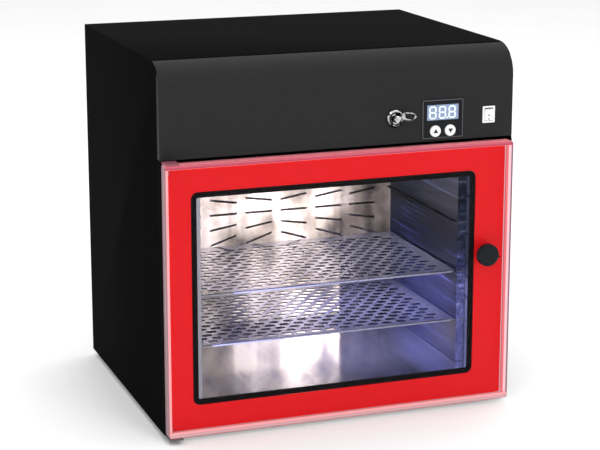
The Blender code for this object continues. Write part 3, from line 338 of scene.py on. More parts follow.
def dress_racks(tree):
    """Painted light and shade by height, and painted highlights as fine bright streaks that run from front
    to back, mostly on the upper half.
    """
    paint_light_by_height(tree, RACK_PAINTED_LIGHT, FLANGE_PAINTED_LIGHT)
    painted_highlight_streaks = ramp(tree, grain(tree, (40, 9, 210), 3.0),
                     [(0.36, (0.45, 0.45, 0.48)), (0.50, 0.9), (0.60, 1.3), (0.70, (4.2, 4.3, 4.5))])
    tint(tree, painted_highlight_streaks, step(tree, along(tree, "Generated", "Z", 0.0, 1.0), 0.10, 0.60))


def dress_baffle(tree):
    """Cloudy stains."""
    tint(tree, ramp(tree, grain(tree, (17, 17, 13), 5.0),
                    [(0.36, (0.12, 0.11, 0.11)), (0.46, (0.50, 0.47, 0.42)), (0.58, (1.0, 0.98, 0.95))]))


def paint_chrome_reflections(tree):
    """Painted reflections: bright where it faces up and dark where it faces down, broken up by fine dark
    painted streaks.
    """
    shader = tree.nodes["Principled BSDF"]
    facing = ramp(tree, along(tree, "Normal", "Z", -1.0, 1.0),
                  [(0.0, 0.02), (0.42, 0.10), (0.52, (0.62, 0.62, 0.63)), (1.0, (0.95, 0.95, 0.96))])
    tree.links.new(facing, shader.inputs["Base Color"])
    tint(tree, ramp(tree, grain(tree, (210, 210, 260), 2.0),
                    [(0.40, 0.03), (0.50, (0.75, 0.75, 0.76)), (0.60, 1.0)]))


def paint_rim_light(tree):
    """The polished edge of the clear cover, with painted light: pink painted light on top, and a grey-mauve
    painted reflection on its sides.
    """
    top = ramp(tree, grain(tree, 120), [(0.3, (0.86, 0.22, 0.27)), (0.7, (1.0, 0.30, 0.34))])
    upwards = ramp(tree, along(tree, "Normal", "Z", 0.0, 1.0), [(0.5, 0.0), (0.8, 1.0)])
    tint(tree, top, upwards, "MIX")


def paint_margin_light(tree):
    """The clear margin round the red panel, painted with the light and the reflections that its edges carry
    to the
    front, which differ on each side: pink painted light, painted highlights and dark edges.
    """
    (left, right), _, (bottom, top) = limits("door_cover")
    floor = bottom + BORDER["bottom"]
    ceiling = top - BORDER["top"]
    left_side = ramp(tree, along(tree, "Object", "X", left, left + BORDER["left"]),
                     [(0.10, PAINTED_MAUVE_REFLECTION), (0.30, PAINTED_PINK_LIGHT)])
    right_side = ramp(tree, along(tree, "Object", "X", right - BORDER["right"], right),
                      [(0.0, (0.88, 0.14, 0.15)), (0.30, (0.72, 0.16, 0.18)), (0.44, (1.0, 0.58, 0.64)),
                       (0.70, (0.96, 0.54, 0.60)), (0.82, (0.26, 0.15, 0.19))])
    lower_side = ramp(tree, along(tree, "Object", "Z", bottom, floor),
                      [(0.0, (0.42, 0.30, 0.32)), (0.14, (0.64, 0.42, 0.44)), (0.50, (0.66, 0.36, 0.38)),
                       (0.64, PAINTED_PINK_LIGHT), (0.90, PAINTED_PINK_LIGHT), (1.0, (0.70, 0.06, 0.08))])
    upper_side = ramp(tree, along(tree, "Object", "Z", ceiling, top),
                      [(0.0, (0.95, 0.16, 0.18)), (0.22, (0.38, 0.05, 0.08)), (0.60, (0.58, 0.10, 0.16)),
                       (1.0, (0.75, 0.18, 0.23))])
    on_right = step(tree, along(tree, "Object", "X", -1.0, 1.0), 0.54, 0.56)
    height = along(tree, "Object", "Z", 0.0, 1.0)
    colour = mixed(tree, left_side, right_side, on_right)
    colour = mixed(tree, colour, lower_side, step(tree, height, floor + 0.0003, floor - 0.0001))
    colour = mixed(tree, colour, upper_side, step(tree, height, ceiling - 0.0003, ceiling + 0.0001))
    tree.links.new(colour, tree.nodes["Principled BSDF"].inputs["Base Color"])


MATERIALS = {name: finish_material(name) for name in FINISHES}
MATERIALS["clear_acrylic"] = clear_material("clear_acrylic", (1.0, 0.99, 0.99), 0.03, 1.08)
MATERIALS["clear_glass"] = clear_material("clear_glass", (0.66, 0.66, 0.70), 0.02, 1.10)
for finish, dress in (("liner_steel", dress_liner), ("rack_steel_painted_shade", dress_racks),
                      ("baffle_steel", dress_baffle), ("polished_chrome", paint_chrome_reflections),
                      ("acrylic_rim", paint_rim_light), ("acrylic_margin", paint_margin_light)):
    dress(MATERIALS[finish].node_tree)


def dress_frame():
    """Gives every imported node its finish."""
    for name, obj in frame["nodes"].items():
        obj.data.materials.clear()
        obj.data.materials.append(MATERIALS[FINISH_OF.get(name, SLOT_OF[name])])
        obj.data.shade_smooth()
        obj.data.set_sharp_from_angle(angle=NODE_SHARP_ANGLE)


# ---- Modelling tools ----------------------------------------------------------------------------------
def new_piece(name, mesh, body, slot, material=None):
    """A piece that rides on body, with the finish of the record's slot unless another material is named."""
    obj = bpy.data.objects.new(name, mesh)
    bpy.context.scene.collection.objects.link(obj)
    mesh.name = name
    mesh.materials.clear()
    mesh.materials.append(MATERIALS[material or slot])
    mesh.shade_smooth()
    mesh.set_sharp_from_angle(angle=PIECE_SHARP_ANGLE)
    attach(obj, body)
    return obj


def helper(name, mesh):
    obj = bpy.data.objects.new(name, mesh)
    bpy.context.scene.collection.objects.link(obj)
    return obj


def mesh_of(shape):
    mesh = bpy.data.meshes.new("shape")
    shape.to_mesh(mesh)
    shape.free()
    return mesh


def boxes_mesh(boxes, bevel=0.0):
    """Boxes given as (x, depth, z) limits, with their edges rounded by bevel."""
    shape = bmesh.new()
    for x, depth, z in boxes:
        size = (x[1] - x[0], depth[1] - depth[0], z[1] - z[0], 1.0)
        middle = ((x[0] + x[1]) / 2, y_at((depth[0] + depth[1]) / 2), (z[0] + z[1]) / 2)
        bmesh.ops.create_cube(shape, size=1.0, matrix=Matrix.Translation(middle) @ Matrix.Diagonal(size))
    if bevel:
        bmesh.ops.bevel(shape, geom=shape.edges[:], offset=bevel, segments=2, profile=0.5, affect="EDGES")
    return mesh_of(shape)


# What turns a drawing in (x, y) into a plate across each axis
PLANES = {
    "X": Matrix(((0, 0, 1, 0), (1, 0, 0, 0), (0, 1, 0, 0), (0, 0, 0, 1))),
    "Y": Matrix(((1, 0, 0, 0), (0, 0, -1, 0), (0, 1, 0, 0), (0, 0, 0, 1))),
    "Z": Matrix.Identity(4),
}


def plate_mesh(axis, outlines, span, bevel=0.0):
    """A flat piece between two limits along axis. The first outline is its edge, the others are holes."""
    curve = bpy.data.curves.new("outlines", "CURVE")
    curve.dimensions = "2D"
    curve.fill_mode = "BOTH"
    curve.extrude = (span[1] - span[0]) / 2 - bevel
    curve.bevel_depth = bevel
    curve.bevel_resolution = 1
    curve.offset = -bevel
    for outline in outlines:
        spline = curve.splines.new("POLY")
        spline.points.add(len(outline) - 1)
        spline.use_cyclic_u = True
        for point, (u, v) in zip(spline.points, outline):
            first = y_at(u) if axis == "X" else u
            second = y_at(v) if axis == "Z" else v
            point.co = (first, second, 0.0, 1.0)
    mesh = evaluated_mesh(helper("outlines", curve))
    bpy.data.curves.remove(curve)
    middle = (span[0] + span[1]) / 2
    offset = {"X": (middle, 0, 0), "Y": (0, y_at(middle), 0), "Z": (0, 0, middle)}[axis]
    mesh.transform(Matrix.Translation(offset) @ PLANES[axis])
    shape = bmesh.new()
    shape.from_mesh(mesh)
    bmesh.ops.remove_doubles(shape, verts=shape.verts, dist=0.00002)
    bmesh.ops.recalc_face_normals(shape, faces=shape.faces)
    shape.to_mesh(mesh)
    shape.free()
    return mesh


def turned_mesh(profile, middle, sides=64):
    """A piece turned about an axis along Y at (x, z), from a profile of (radius, depth) points."""
    shape = bmesh.new()
    rings = []
    for radius, depth in profile:
        if radius == 0.0:
            rings.append([shape.verts.new((middle[0], y_at(depth), middle[1]))])
        else:
            rings.append([shape.verts.new((x, y_at(depth), z)) for x, z in circle(middle, radius, sides)])
    pairs = list(zip(rings, rings[1:]))
    if profile[0][0] > 0:
        pairs.append((rings[-1], rings[0]))
    for first, second in pairs:
        for i in range(sides):
            after = (i + 1) % sides
            corners = [first[i % len(first)], first[after % len(first)], second[after % len(second)],
                       second[i % len(second)]]
            shape.faces.new(list(dict.fromkeys(corners)))
    bmesh.ops.recalc_face_normals(shape, faces=shape.faces)
    return mesh_of(shape)


def evaluated_mesh(obj):
    """The object's mesh with its modifiers applied. The object is removed."""
    graph = bpy.context.evaluated_depsgraph_get()
    done = bpy.data.meshes.new_from_object(obj.evaluated_get(graph))
    bpy.data.objects.remove(obj, do_unlink=True)
    return done


def cut(mesh, *cutters):
    """mesh less the cutters' shapes."""
    target = helper("cut_target", mesh)
    tools = [helper("cut_tool", cutter) for cutter in cutters]
    for tool in tools:
        modifier = target.modifiers.new("cut", "BOOLEAN")
        modifier.operation = "DIFFERENCE"
        modifier.object = tool
    done = evaluated_mesh(target)
    for tool in tools:
        bpy.data.objects.remove(tool, do_unlink=True)
    return done


def bevelled(mesh, width, segments=2, angle=35):
    """mesh with its sharp edges rounded."""
    target = helper("bevel_target", mesh)
    modifier = target.modifiers.new("bevel", "BEVEL")
    modifier.width = width
    modifier.segments = segments
    modifier.limit_method = "ANGLE"
    modifier.angle_limit = math.radians(angle)
    return evaluated_mesh(target)


def arc(middle, radius, first, last, steps):
    angles = [math.radians(first + (last - first) * i / steps) for i in range(steps + 1)]
    return [(middle[0] + radius * math.cos(a), middle[1] + radius * math.sin(a)) for a in angles]


def circle(middle, radius, sides=40):
    return arc(middle, radius, 0.0, 360.0, sides)[:-1]


def rounded_rectangle(left, right, bottom, top, radius, steps=8):
    corners = ((right - radius, top - radius, 0), (left + radius, top - radius, 90),
               (left + radius, bottom + radius, 180), (right - radius, bottom + radius, 270))
    points = []
    for x, z, first in corners:
        points += arc((x, z), radius, first, first + 90, steps)
    return points


def node_outline(name, inset, radius, steps=8):
    """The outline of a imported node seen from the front, drawn in by inset, with rounded corners."""
    (left, right), _, (bottom, top) = limits(name)
    return rounded_rectangle(left + inset, right - inset, bottom + inset, top - inset, radius, steps)


def front_curve(top, first_depth, last_depth, inset=0.0, steps=48):
    half_depth = CURVE_DEPTH - inset
    half_drop = CURVE_DROP - inset
    first = math.acos((CURVE_DEPTH - first_depth) / half_depth)
    last = math.acos((CURVE_DEPTH - last_depth) / half_depth)
    angles = [first + (last - first) * i / steps for i in range(steps + 1)]
    return [(CURVE_DEPTH - half_depth * math.cos(a), top - CURVE_DROP + half_drop * math.sin(a))
            for a in angles]


# ---- Cabinet ------------------------------------------------------------------------------------------
def make_wrapper():
    (left, right), (front, back), (bottom, top) = limits("outer_wrapper")
    outline = [(front, bottom)] + front_curve(top, front, CURVE_DEPTH) + [(back, top), (back, bottom)]
    mesh = bevelled(plate_mesh("X", [outline], (left, right)), 0.0009, 2, 30)
    inner = (left + SHEET, right - SHEET)
    hollow = [(SHEET, 0.0)] + front_curve(top, SHEET, CURVE_DEPTH, SHEET)
    hollow += [(back + 0.01, top - SHEET), (back + 0.01, 0.0)]
    bay = boxes_mesh([(inner, (0.0, SEAM_DEPTH), (limits("control_fascia")[2][0], top + 0.01))])
    mesh = cut(mesh, plate_mesh("X", [hollow], inner), bay)
    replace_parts(new_piece("wrapper_sheet", mesh, "cabinet", "black_powder_coat"), "outer_wrapper")


def make_gap_fillers():
    """The dark ends of the narrow gap between the front frame and the fascia."""
    floor = limits("control_fascia")[2][0]
    left, right = limits("outer_wrapper")[0]
    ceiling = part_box("front_frame")[1].z
    spans = {"left": (left + 0.0002, left + SHEET), "right": (right - SHEET, right - 0.0002)}
    for side, x in spans.items():
        mesh = boxes_mesh([(x, (0.0005, 0.0097), (ceiling + 0.0001, floor - 0.0001))])
        new_piece("gap_filler_" + side, mesh, "cabinet", "black_powder_coat")


def make_fascia():
    (left, right), (_, back), (bottom, _) = limits("control_fascia")
    top = limits("outer_wrapper")[2][1]
    outline = [(0.0, bottom)] + front_curve(top, 0.0, back) + [(back, bottom)]
    mesh = bevelled(plate_mesh("X", [outline], (left, right)), 0.0008, 2, 30)
    floor = bottom + FASCIA_SHEET
    hollow = [(FASCIA_SHEET, floor)] + front_curve(top, FASCIA_SHEET, CURVE_DEPTH, FASCIA_SHEET)
    hollow += [(CURVE_DEPTH, floor)]
    side = 0.0015
    past = right + 0.01
    inner = right - SHEET - FIT_GAP
    behind = (SIDE_EDGE_DEPTH - FIT_GAP, SEAM_DEPTH + 0.01)
    heights = (bottom - 0.01, top + 0.01)
    trims = boxes_mesh([((-past, -inner), behind, heights), ((inner, past), behind, heights)])
    (module_left, module_right), _, (module_bottom, module_top) = limits("controller_body")
    (rocker_left, rocker_right), _, (rocker_bottom, rocker_top) = limits("rocker_housing")
    through = (-0.005, 0.005)
    module_hole = ((module_left + 0.0014, module_right - 0.0014), through,
                   (module_bottom + 0.0011, module_top - 0.0009))
    rocker_hole = ((rocker_left + 0.0009, rocker_right - 0.0009), through,
                   (rocker_bottom + 0.0007, rocker_top - 0.0007))
    mesh = cut(mesh, plate_mesh("X", [hollow], (left + side, right - side)), trims,
               boxes_mesh([module_hole, rocker_hole]),
               plate_mesh("Y", [circle(centre("key_lock_barrel"), 0.0093)], through))
    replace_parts(new_piece("fascia_sheet", mesh, "cabinet", "charcoal_paint"), "control_fascia")


def screw(name, x, z, depth, radius=0.0032):
    """A pan-head screw with a crossed recess, on a face that looks to the rear."""
    profile = [(0.0, depth - 0.0004), (radius, depth - 0.0004), (radius, depth + 0.0006),
               (radius * 0.82, depth + 0.0014), (radius * 0.45, depth + 0.0018), (0.0, depth + 0.0019)]
    head = turned_mesh(profile, (x, z), 28)
    recess = (depth + 0.0009, depth + 0.004)
    arm = radius * 0.5
    half = 0.00035
    upright = boxes_mesh([((x - half, x + half), recess, (z - arm, z + arm))])
    level = boxes_mesh([((x - arm, x + arm), recess, (z - half, z + half))])
    new_piece(name, cut(head, upright, level), "cabinet", "polished_chrome")


def make_rear_screws():
    (left, right), (_, back), (bottom, top) = limits("rear_panel")
    for column, x in enumerate((left + 0.012, 0.0, right - 0.012)):
        for row, z in enumerate((bottom + 0.012, (bottom + top) / 2, top - 0.012)):
            if column != 1 or row != 1:
                screw(f"rear_screw_{column}_{row}", x, z, back)
    (inlet_left, inlet_right), (_, inlet_back), _ = limits("power_inlet")
    middle = centre("power_inlet")[1]
    for side, x in (("left", inlet_left + 0.005), ("right", inlet_right - 0.005)):
        screw("inlet_screw_" + side, x, middle, inlet_back - 0.0020, 0.0026)


# ---- Chamber ------------------------------------------------------------------------------------------
HOLE_LENGTH = 0.0138
HOLE_WIDTH = 0.0088
HOLE_PITCH_X = 0.0193
HOLE_PITCH_DEPTH = 0.0126
FIRST_ROW = 0.0120
ROW_MARGINS = 0.016
FIRST_HOLE = 0.0155
LAST_HOLE = 0.0145
LIP_HEIGHT = 0.0030
LIP_HALF_WIDTH = 0.174
LEDGE_LEVELS = (0.0950, 0.1595, 0.2240)
TAB_REACH = (0.1810, 0.1905)
TRIM_WIDTH = 0.0066


def oval(x, depth):
    half = HOLE_LENGTH / 2 - HOLE_WIDTH / 2
    right = arc((x + half, depth), HOLE_WIDTH / 2, -90, 90, 5)
    return right + arc((x - half, depth), HOLE_WIDTH / 2, 90, 270, 5)


def make_shelf(node_name, body):
    """A sheet with staggered rows of oval holes, and a lip along its front."""
    (left, right), (front, back), (_, top) = limits(node_name)
    edge = [(left, front), (right, front), (right, back), (left, back)]
    holes = []
    for row in range(int((back - front - ROW_MARGINS) / HOLE_PITCH_DEPTH)):
        x = left + FIRST_HOLE + (HOLE_PITCH_X / 2 if row % 2 else 0.0)
        while x < right - LAST_HOLE:
            holes.append(oval(x, front + FIRST_ROW + row * HOLE_PITCH_DEPTH))
            x += HOLE_PITCH_X
    sheet = plate_mesh("Z", [edge, *holes], (top - SHEET, top))
    piece = new_piece(node_name + "_sheet", sheet, body, "brushed_stainless", "shelf_steel")
    # The holes' walls take the near-black painted shade
    sheet.materials.append(MATERIALS["hole_wall_painted_shade"])
    for face in sheet.polygons:
        at_edge = face.center.y < y_at(front) + 0.0005
        if abs(face.normal.z) < 0.5 and not at_edge:
            face.material_index = 1
    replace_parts(piece, node_name)
    lip = boxes_mesh([((-LIP_HALF_WIDTH, LIP_HALF_WIDTH), (front, front + SHEET),
                       (top - LIP_HEIGHT, top - SHEET))])
    new_piece(node_name + "_lip", lip, body, "brushed_stainless", "trim_steel")


def rack_strips(name, x, depth, drop, bevel):
    """A strip at each ledge, from its lower side up to drop below its top."""
    strips = [(sorted(x), depth, (level - SHEET, level - drop)) for level in LEDGE_LEVELS]
    new_piece(name, boxes_mesh(strips, bevel), "cabinet", "brushed_stainless", "trim_steel")


def make_rack_strips():
    """The bent ends of the racks' ledges in front, and a thin bright strip along each ledge's edge: a
    painted highlight on the ledge's real edge.
    """
    racks = (("shelf_rack_left", -1), ("shelf_rack_right", 1))
    for rack, side in racks:
        front = limits(rack)[1][0]
        rack_strips(rack + "_tabs", [side * reach for reach in TAB_REACH], (front - 0.0040, front - 0.0001),
                    0.0, 0.0003)
    # Thin bright strips along the ledges' inner edges: painted highlights
    for rack, side in racks:
        (left, right), (front, back), _ = limits(rack)
        inner = right if side < 0 else left
        rack_strips(rack + "_edges", (inner, inner + side * 0.0004), (front + 0.001, back - 0.001),
                    0.0001, 0.0001)


def make_mouth_trim():
    """The stainless strip round the chamber's mouth, on the front frame."""
    _, _, (bottom, top) = limits("chamber_liner")
    floor = bottom + SHEET
    ceiling = top - SHEET + 0.0005
    half = MOUTH_HALF_WIDTH
    outer = rounded_rectangle(-half - TRIM_WIDTH, half + TRIM_WIDTH, floor - TRIM_WIDTH,
                              ceiling + TRIM_WIDTH, 0.0075)
    inner = rounded_rectangle(-half, half, floor, ceiling, 0.003)
    strip = plate_mesh("Y", [outer, inner], (-0.0005, -0.0001), 0.0001)
    new_piece("mouth_trim", strip, "cabinet", "brushed_stainless", "trim_steel")


# ---- Door ---------------------------------------------------------------------------------------------
RIM = 0.0012
PIN_BORE = 0.0023
PIN_LENGTH = 0.012
SHAFT_BORE = 0.0036
GASKET_WIDTH = 0.0068
RIB_WIDTH = 0.0021
KNOB_RADIUS = 0.014
KNOB_ROUNDING = 0.0020
POINTER_DROP = 0.0026


def make_cover_body():
    """The clear slab with its pocket and bores, whose edges carry painted light and reflections of their
    own.
    """
    (left, right), (front, back), (bottom, top) = limits("door_cover")
    slab = plate_mesh("Y", [node_outline("door_cover", 0.0, 0.003)], (front, back))
    slab = bevelled(slab, 0.0009, 2, 50)
    panel_front = limits("door_panel")[1][0]
    pocket = plate_mesh("Y", [node_outline("door_panel", -FIT_GAP, 0.003)], (panel_front - FIT_GAP, 0.01))
    (pin_left, pin_right), (pin_front, pin_back), _ = limits("hinge_pin_top")
    pin = circle(((pin_left + pin_right) / 2, (pin_front + pin_back) / 2), PIN_BORE, 28)
    bores = [plate_mesh("Z", [pin], span)
             for span in ((top - PIN_LENGTH, top + 0.01), (bottom - 0.01, bottom + PIN_LENGTH))]
    through = circle(centre("latch_shaft"), SHAFT_BORE)
    mesh = cut(slab, pocket, *bores, plate_mesh("Y", [through], (front - 0.01, 0.01)))
    piece = new_piece("acrylic_cover", mesh, "door", "clear_acrylic")
    mesh.materials.append(MATERIALS["acrylic_rim"])
    mesh.materials.append(MATERIALS["acrylic_margin"])
    for face in mesh.polygons:
        middle = face.center
        from_edge = min(middle.x - left, right - middle.x, middle.z - bottom, top - middle.z)
        if from_edge < RIM and abs(face.normal.y) < 0.9:
            face.material_index = 1
        elif middle.y > y_at(back) - 0.0001:
            face.material_index = 2
    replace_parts(piece, "door_cover")
    return piece


def make_cover_border():
    """The margin's painted light and reflections, as a thin frame just behind the cover's front face."""
    (left, right), (front, _), (bottom, top) = limits("door_cover")
    inner = rounded_rectangle(left + BORDER["left"], right - BORDER["right"], bottom + BORDER["bottom"],
                              top - BORDER["top"], 0.0008)
    mesh = plate_mesh("Y", [node_outline("door_cover", 0.0006, 0.0026), inner],
                      (front + 0.0003, front + 0.0007))
    return new_piece("cover_painted_border", mesh, "door", "clear_acrylic", "acrylic_margin")


def make_door_cover():
    """A clear cover lets the light through to the panel, its edges with their painted light included."""
    for clear in (make_cover_body(), make_cover_border()):
        clear.visible_shadow = False
        clear.visible_diffuse = False


def make_gasket():
    """The window's rubber profile: a flat band with two raised ribs, near its outer and its inner edge."""
    _, (front, back), _ = limits("window_gasket")

    def ring(inset, width, radius):
        return [node_outline("window_gasket", inset, radius),
                node_outline("window_gasket", inset + width, max(radius - width, 0.0015))]

    band = plate_mesh("Y", ring(0.0, GASKET_WIDTH, 0.0085), (front + 0.0008, back))
    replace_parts(new_piece("gasket_band", band, "door", "black_rubber"), "window_gasket")
    for edge, inset in (("outer", 0.0003), ("inner", 0.0044)):
        rib = plate_mesh("Y", ring(inset, RIB_WIDTH, 0.0082 - inset), (front, front + 0.0009), 0.0003)
        new_piece("gasket_rib_" + edge, rib, "door", "black_rubber")


def make_knob():
    (_, right), (front, back), _ = limits("latch_knob")
    x, z = centre("latch_shaft")
    radius = KNOB_RADIUS
    shoulder = front + 0.0024
    profile = [(0.0, front + 0.0050), (0.0033, front + 0.0050), (0.0033, back), (radius - 0.0006, back),
               (radius, back - 0.0006), (radius, shoulder)]
    for angle in range(15, 91, 15):
        turn = math.radians(angle)
        profile.append((radius - KNOB_ROUNDING * (1 - math.cos(turn)),
                        shoulder - KNOB_ROUNDING * math.sin(turn)))
    profile += [(radius - 0.0028, front), (radius - 0.0032, front + 0.0003), (0.0, front + 0.0003)]
    knob = new_piece("knob_disc", turned_mesh(profile, (x, z), 72), "latch", "black_plastic")
    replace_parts(knob, "latch_knob")
    tip = right - 0.0001
    root = x + radius - 0.0018
    middle = z - POINTER_DROP
    outline = [(tip, middle + 0.0003), (root, middle + 0.0024), (root, middle - 0.0024),
               (tip, middle - 0.0003)]
    pointer = plate_mesh("Y", [outline], (front + 0.0020, front + 0.0042), 0.0002)
    new_piece("knob_pointer", pointer, "latch", "black_plastic")


# ---- Controls -----------------------------------------------------------------------------------------
def turned(point, angle):
    """The point turned about the origin by an angle in degrees."""
    u, v = point
    lean = math.radians(angle)
    return u * math.cos(lean) - v * math.sin(lean), u * math.sin(lean) + v * math.cos(lean)


def moved(points, x, z):
    return [(x + u, z + v) for u, v in points]


def make_lock():
    (left, right), (front, back), _ = limits("key_lock_barrel")
    radius = (right - left) / 2
    profile = [(0.0068, back), (0.0090, back), (0.0090, -0.0003), (radius, -0.0003), (radius, -0.0018),
               (radius - 0.0006, front + 0.0008), (radius - 0.0016, front + 0.0001),
               (radius - 0.0026, front), (0.0078, front + 0.0006), (0.0070, front + 0.0012),
               (0.0068, front + 0.0016)]
    mesh = turned_mesh(profile, centre("key_lock_barrel"), 72)
    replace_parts(new_piece("lock_ring", mesh, "cabinet", "polished_chrome"), "key_lock_barrel")


def ellipse(x, z, half_width, half_height, tilt):
    points = circle((0.0, 0.0), 1.0)
    return moved([turned((u * half_width, v * half_height), tilt) for u, v in points], x, z)


def make_key():
    _, (front, _), _ = limits("key")
    x, z = centre("key_lock_barrel")
    outlines = [ellipse(x + 0.0132, z + 0.0032, 0.0106, 0.0056, -4),
                ellipse(x + 0.0152, z + 0.0032, 0.0062, 0.0032, -4)]
    bow = plate_mesh("Y", outlines, (front + 0.0002, front + 0.0022), 0.0004)
    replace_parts(new_piece("key_bow", bow, "key_switch", "polished_chrome"), "key")
    profile = [(0.0, -0.0060), (0.0040, -0.0060), (0.0046, -0.0068), (0.0046, front + 0.0010),
               (0.0040, front + 0.0003), (0.0, front + 0.0003)]
    collar = turned_mesh(profile, (x, z), 36)
    new_piece("key_collar", collar, "key_switch", "polished_chrome")
    blade = boxes_mesh([((x - 0.0035, x + 0.0035), (-0.0065, 0.0035), (z - 0.0010, z + 0.0010))], 0.0003)
    new_piece("key_blade", blade, "key_switch", "polished_chrome")


FIGURE_WIDTH = 0.0078
FIGURE_HEIGHT = 0.0138
FIGURE_PITCH = 0.0128
FIRST_FIGURE = 0.0072
BAR_THICKNESS = 0.0019
BAR_SHARE = 0.94


def bar(length, upright):
    """The outline of one bar of a figure, with pointed ends."""
    half = length / 2
    rim = BAR_THICKNESS / 2
    points = [(-half, 0.0), (-half + rim, rim), (half - rim, rim), (half, 0.0), (half - rim, -rim),
              (-half + rim, -rim)]
    return [turned(point, 90) for point in points] if upright else points


def make_display():
    """Three eights and a point, every bar its own piece."""
    (left, _), (front, _), _ = limits("display_window")
    middle_z = centre("display_window")[1]
    half_width = FIGURE_WIDTH / 2
    half_height = FIGURE_HEIGHT / 2
    bars = ((0.0, half_height, False), (-half_width, half_height / 2, True),
            (half_width, half_height / 2, True), (0.0, 0.0, False), (-half_width, -half_height / 2, True),
            (half_width, -half_height / 2, True), (0.0, -half_height, False))

    def lit(name, outline):
        mesh = plate_mesh("Y", [outline], (front - 0.0002, front - 0.00002))
        new_piece(name, mesh, "cabinet", "display_lens", "display_digits")

    for place in range(3):
        x = left + FIRST_FIGURE + place * FIGURE_PITCH
        for index, (u, v, upright) in enumerate(bars):
            length = (half_height if upright else FIGURE_WIDTH) * BAR_SHARE
            lit(f"digit_{place}_bar_{index}", moved(bar(length, upright), x + u, middle_z + v))
    point = (left + FIRST_FIGURE + 1.5 * FIGURE_PITCH, middle_z - half_height + 0.0002)
    lit("digit_point", circle(point, 0.0011, 16))


def make_module():
    """A thin grey frame round a black face, with a sunk window and two holes for the buttons."""
    (left, right), (front, back), (bottom, top) = limits("controller_body")
    holes = [node_outline("display_window", -FIT_GAP, 0.0004, 3)]
    for name in ("up_button", "down_button"):
        (hole_left, hole_right), _, _ = limits(name)
        holes.append(circle(centre(name), (hole_right - hole_left) / 2 + FIT_GAP))
    face = node_outline("controller_body", 0.0009, 0.0008, 3)
    face_mesh = plate_mesh("Y", [face, *holes], (front + 0.0003, -0.0004))
    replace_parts(new_piece("module_face", face_mesh, "cabinet", "black_plastic"), "controller_body")
    edge = node_outline("controller_body", 0.0, 0.0015, 4)
    frame_mesh = plate_mesh("Y", [edge, face], (front, -0.0003), 0.00015)
    new_piece("module_frame", frame_mesh, "cabinet", "black_plastic", "grey_print")
    housing = boxes_mesh([((left + 0.0017, right - 0.0017), (0.0034, back),
                           (bottom + 0.0014, top - 0.0012))], 0.0005)
    new_piece("module_housing", housing, "cabinet", "black_plastic")


ARROW_SIZE = 0.0031
ARROW_FOOT = 0.72


def make_buttons():
    for name, point in (("up_button", 1), ("down_button", -1)):
        (left, right), (front, back), _ = limits(name)
        x, z = centre(name)
        radius = (right - left) / 2
        profile = [(0.0, back), (radius, back), (radius, front + 0.0008), (radius - 0.0003, front + 0.0003),
                   (radius - 0.0010, front), (radius * 0.5, front - 0.00002), (0.0, front - 0.00003)]
        cap = turned_mesh(profile, (x, z), 56)
        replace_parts(new_piece(name + "_cap", cap, name, "white_plastic"), name)
        foot = z - point * ARROW_SIZE * ARROW_FOOT
        triangle = [(x, z + point * ARROW_SIZE), (x - ARROW_SIZE, foot), (x + ARROW_SIZE, foot)]
        arrow = plate_mesh("Y", [triangle], (front - 0.0001, front - 0.00003))
        new_piece(name + "_arrow", arrow, name, "white_plastic", "dark_print")


ROCKER_TILT = 10
# (depth, height) points of the key, round its pivot and before the tilt
ROCKER_PROFILE = [(-0.0036, -0.0072), (-0.0010, -0.0072), (0.0030, -0.0055), (0.0045, -0.0020),
                  (0.0045, 0.0020), (0.0030, 0.0055), (-0.0010, 0.0072), (-0.0036, 0.0072),
                  (-0.0028, 0.0035), (-0.0024, 0.0), (-0.0028, -0.0035)]
DOT_HEIGHTS = (-0.0008, -0.0052)
DOT_RADIUS = 0.0009
DOT_DEPTH = -0.0025
FACE_SLOPE = 0.12


def make_rocker():
    """A hollow-faced key, tilted on its pivot, with two printed dots on its lower half."""
    (left, right), _, _ = limits("rocker")
    z = centre("rocker_housing")[1]
    outline = moved([turned(point, ROCKER_TILT) for point in ROCKER_PROFILE], 0.0, z)
    mesh = bevelled(plate_mesh("X", [outline], (left, right)), 0.0004, 2, 30)
    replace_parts(new_piece("rocker_key", mesh, "power_rocker", "white_plastic"), "rocker")
    x = (left + right) / 2
    for index, height in enumerate(DOT_HEIGHTS):
        depth, level = turned((DOT_DEPTH + height * FACE_SLOPE, height), ROCKER_TILT)
        dot = plate_mesh("Y", [circle((x, z + level), DOT_RADIUS, 16)], (depth - 0.0002, depth + 0.0003))
        new_piece(f"rocker_dot_{index}", dot, "power_rocker", "white_plastic", "grey_print")


# ---- Stage --------------------------------------------------------------------------------------------
def make_stage():
    half = 12
    floor = bpy.data.meshes.new("floor")
    corners = [(-half, -half, 0), (half, -half, 0), (half, half, 0), (-half, half, 0)]
    floor.from_pydata(corners, [], [(0, 1, 2, 3)])
    obj = helper("floor", floor)
    floor.materials.append(MATERIALS["pale_floor"])
    world = bpy.data.worlds.new("studio")
    bpy.context.scene.world = world
    world.use_nodes = True
    background = world.node_tree.nodes["Background"]
    background.inputs["Color"].default_value = (1.0, 1.0, 1.0, 1.0)
    background.inputs["Strength"].default_value = 1.0


# ---- Light --------------------------------------------------------------------------------------------
WHITE = (1.0, 1.0, 1.0)
VIOLET = (0.56, 0.57, 1.0)
FLASH_ENERGY = 300
FLASH_DISTANCE = 1.8
FLASH_REACH = 0.24
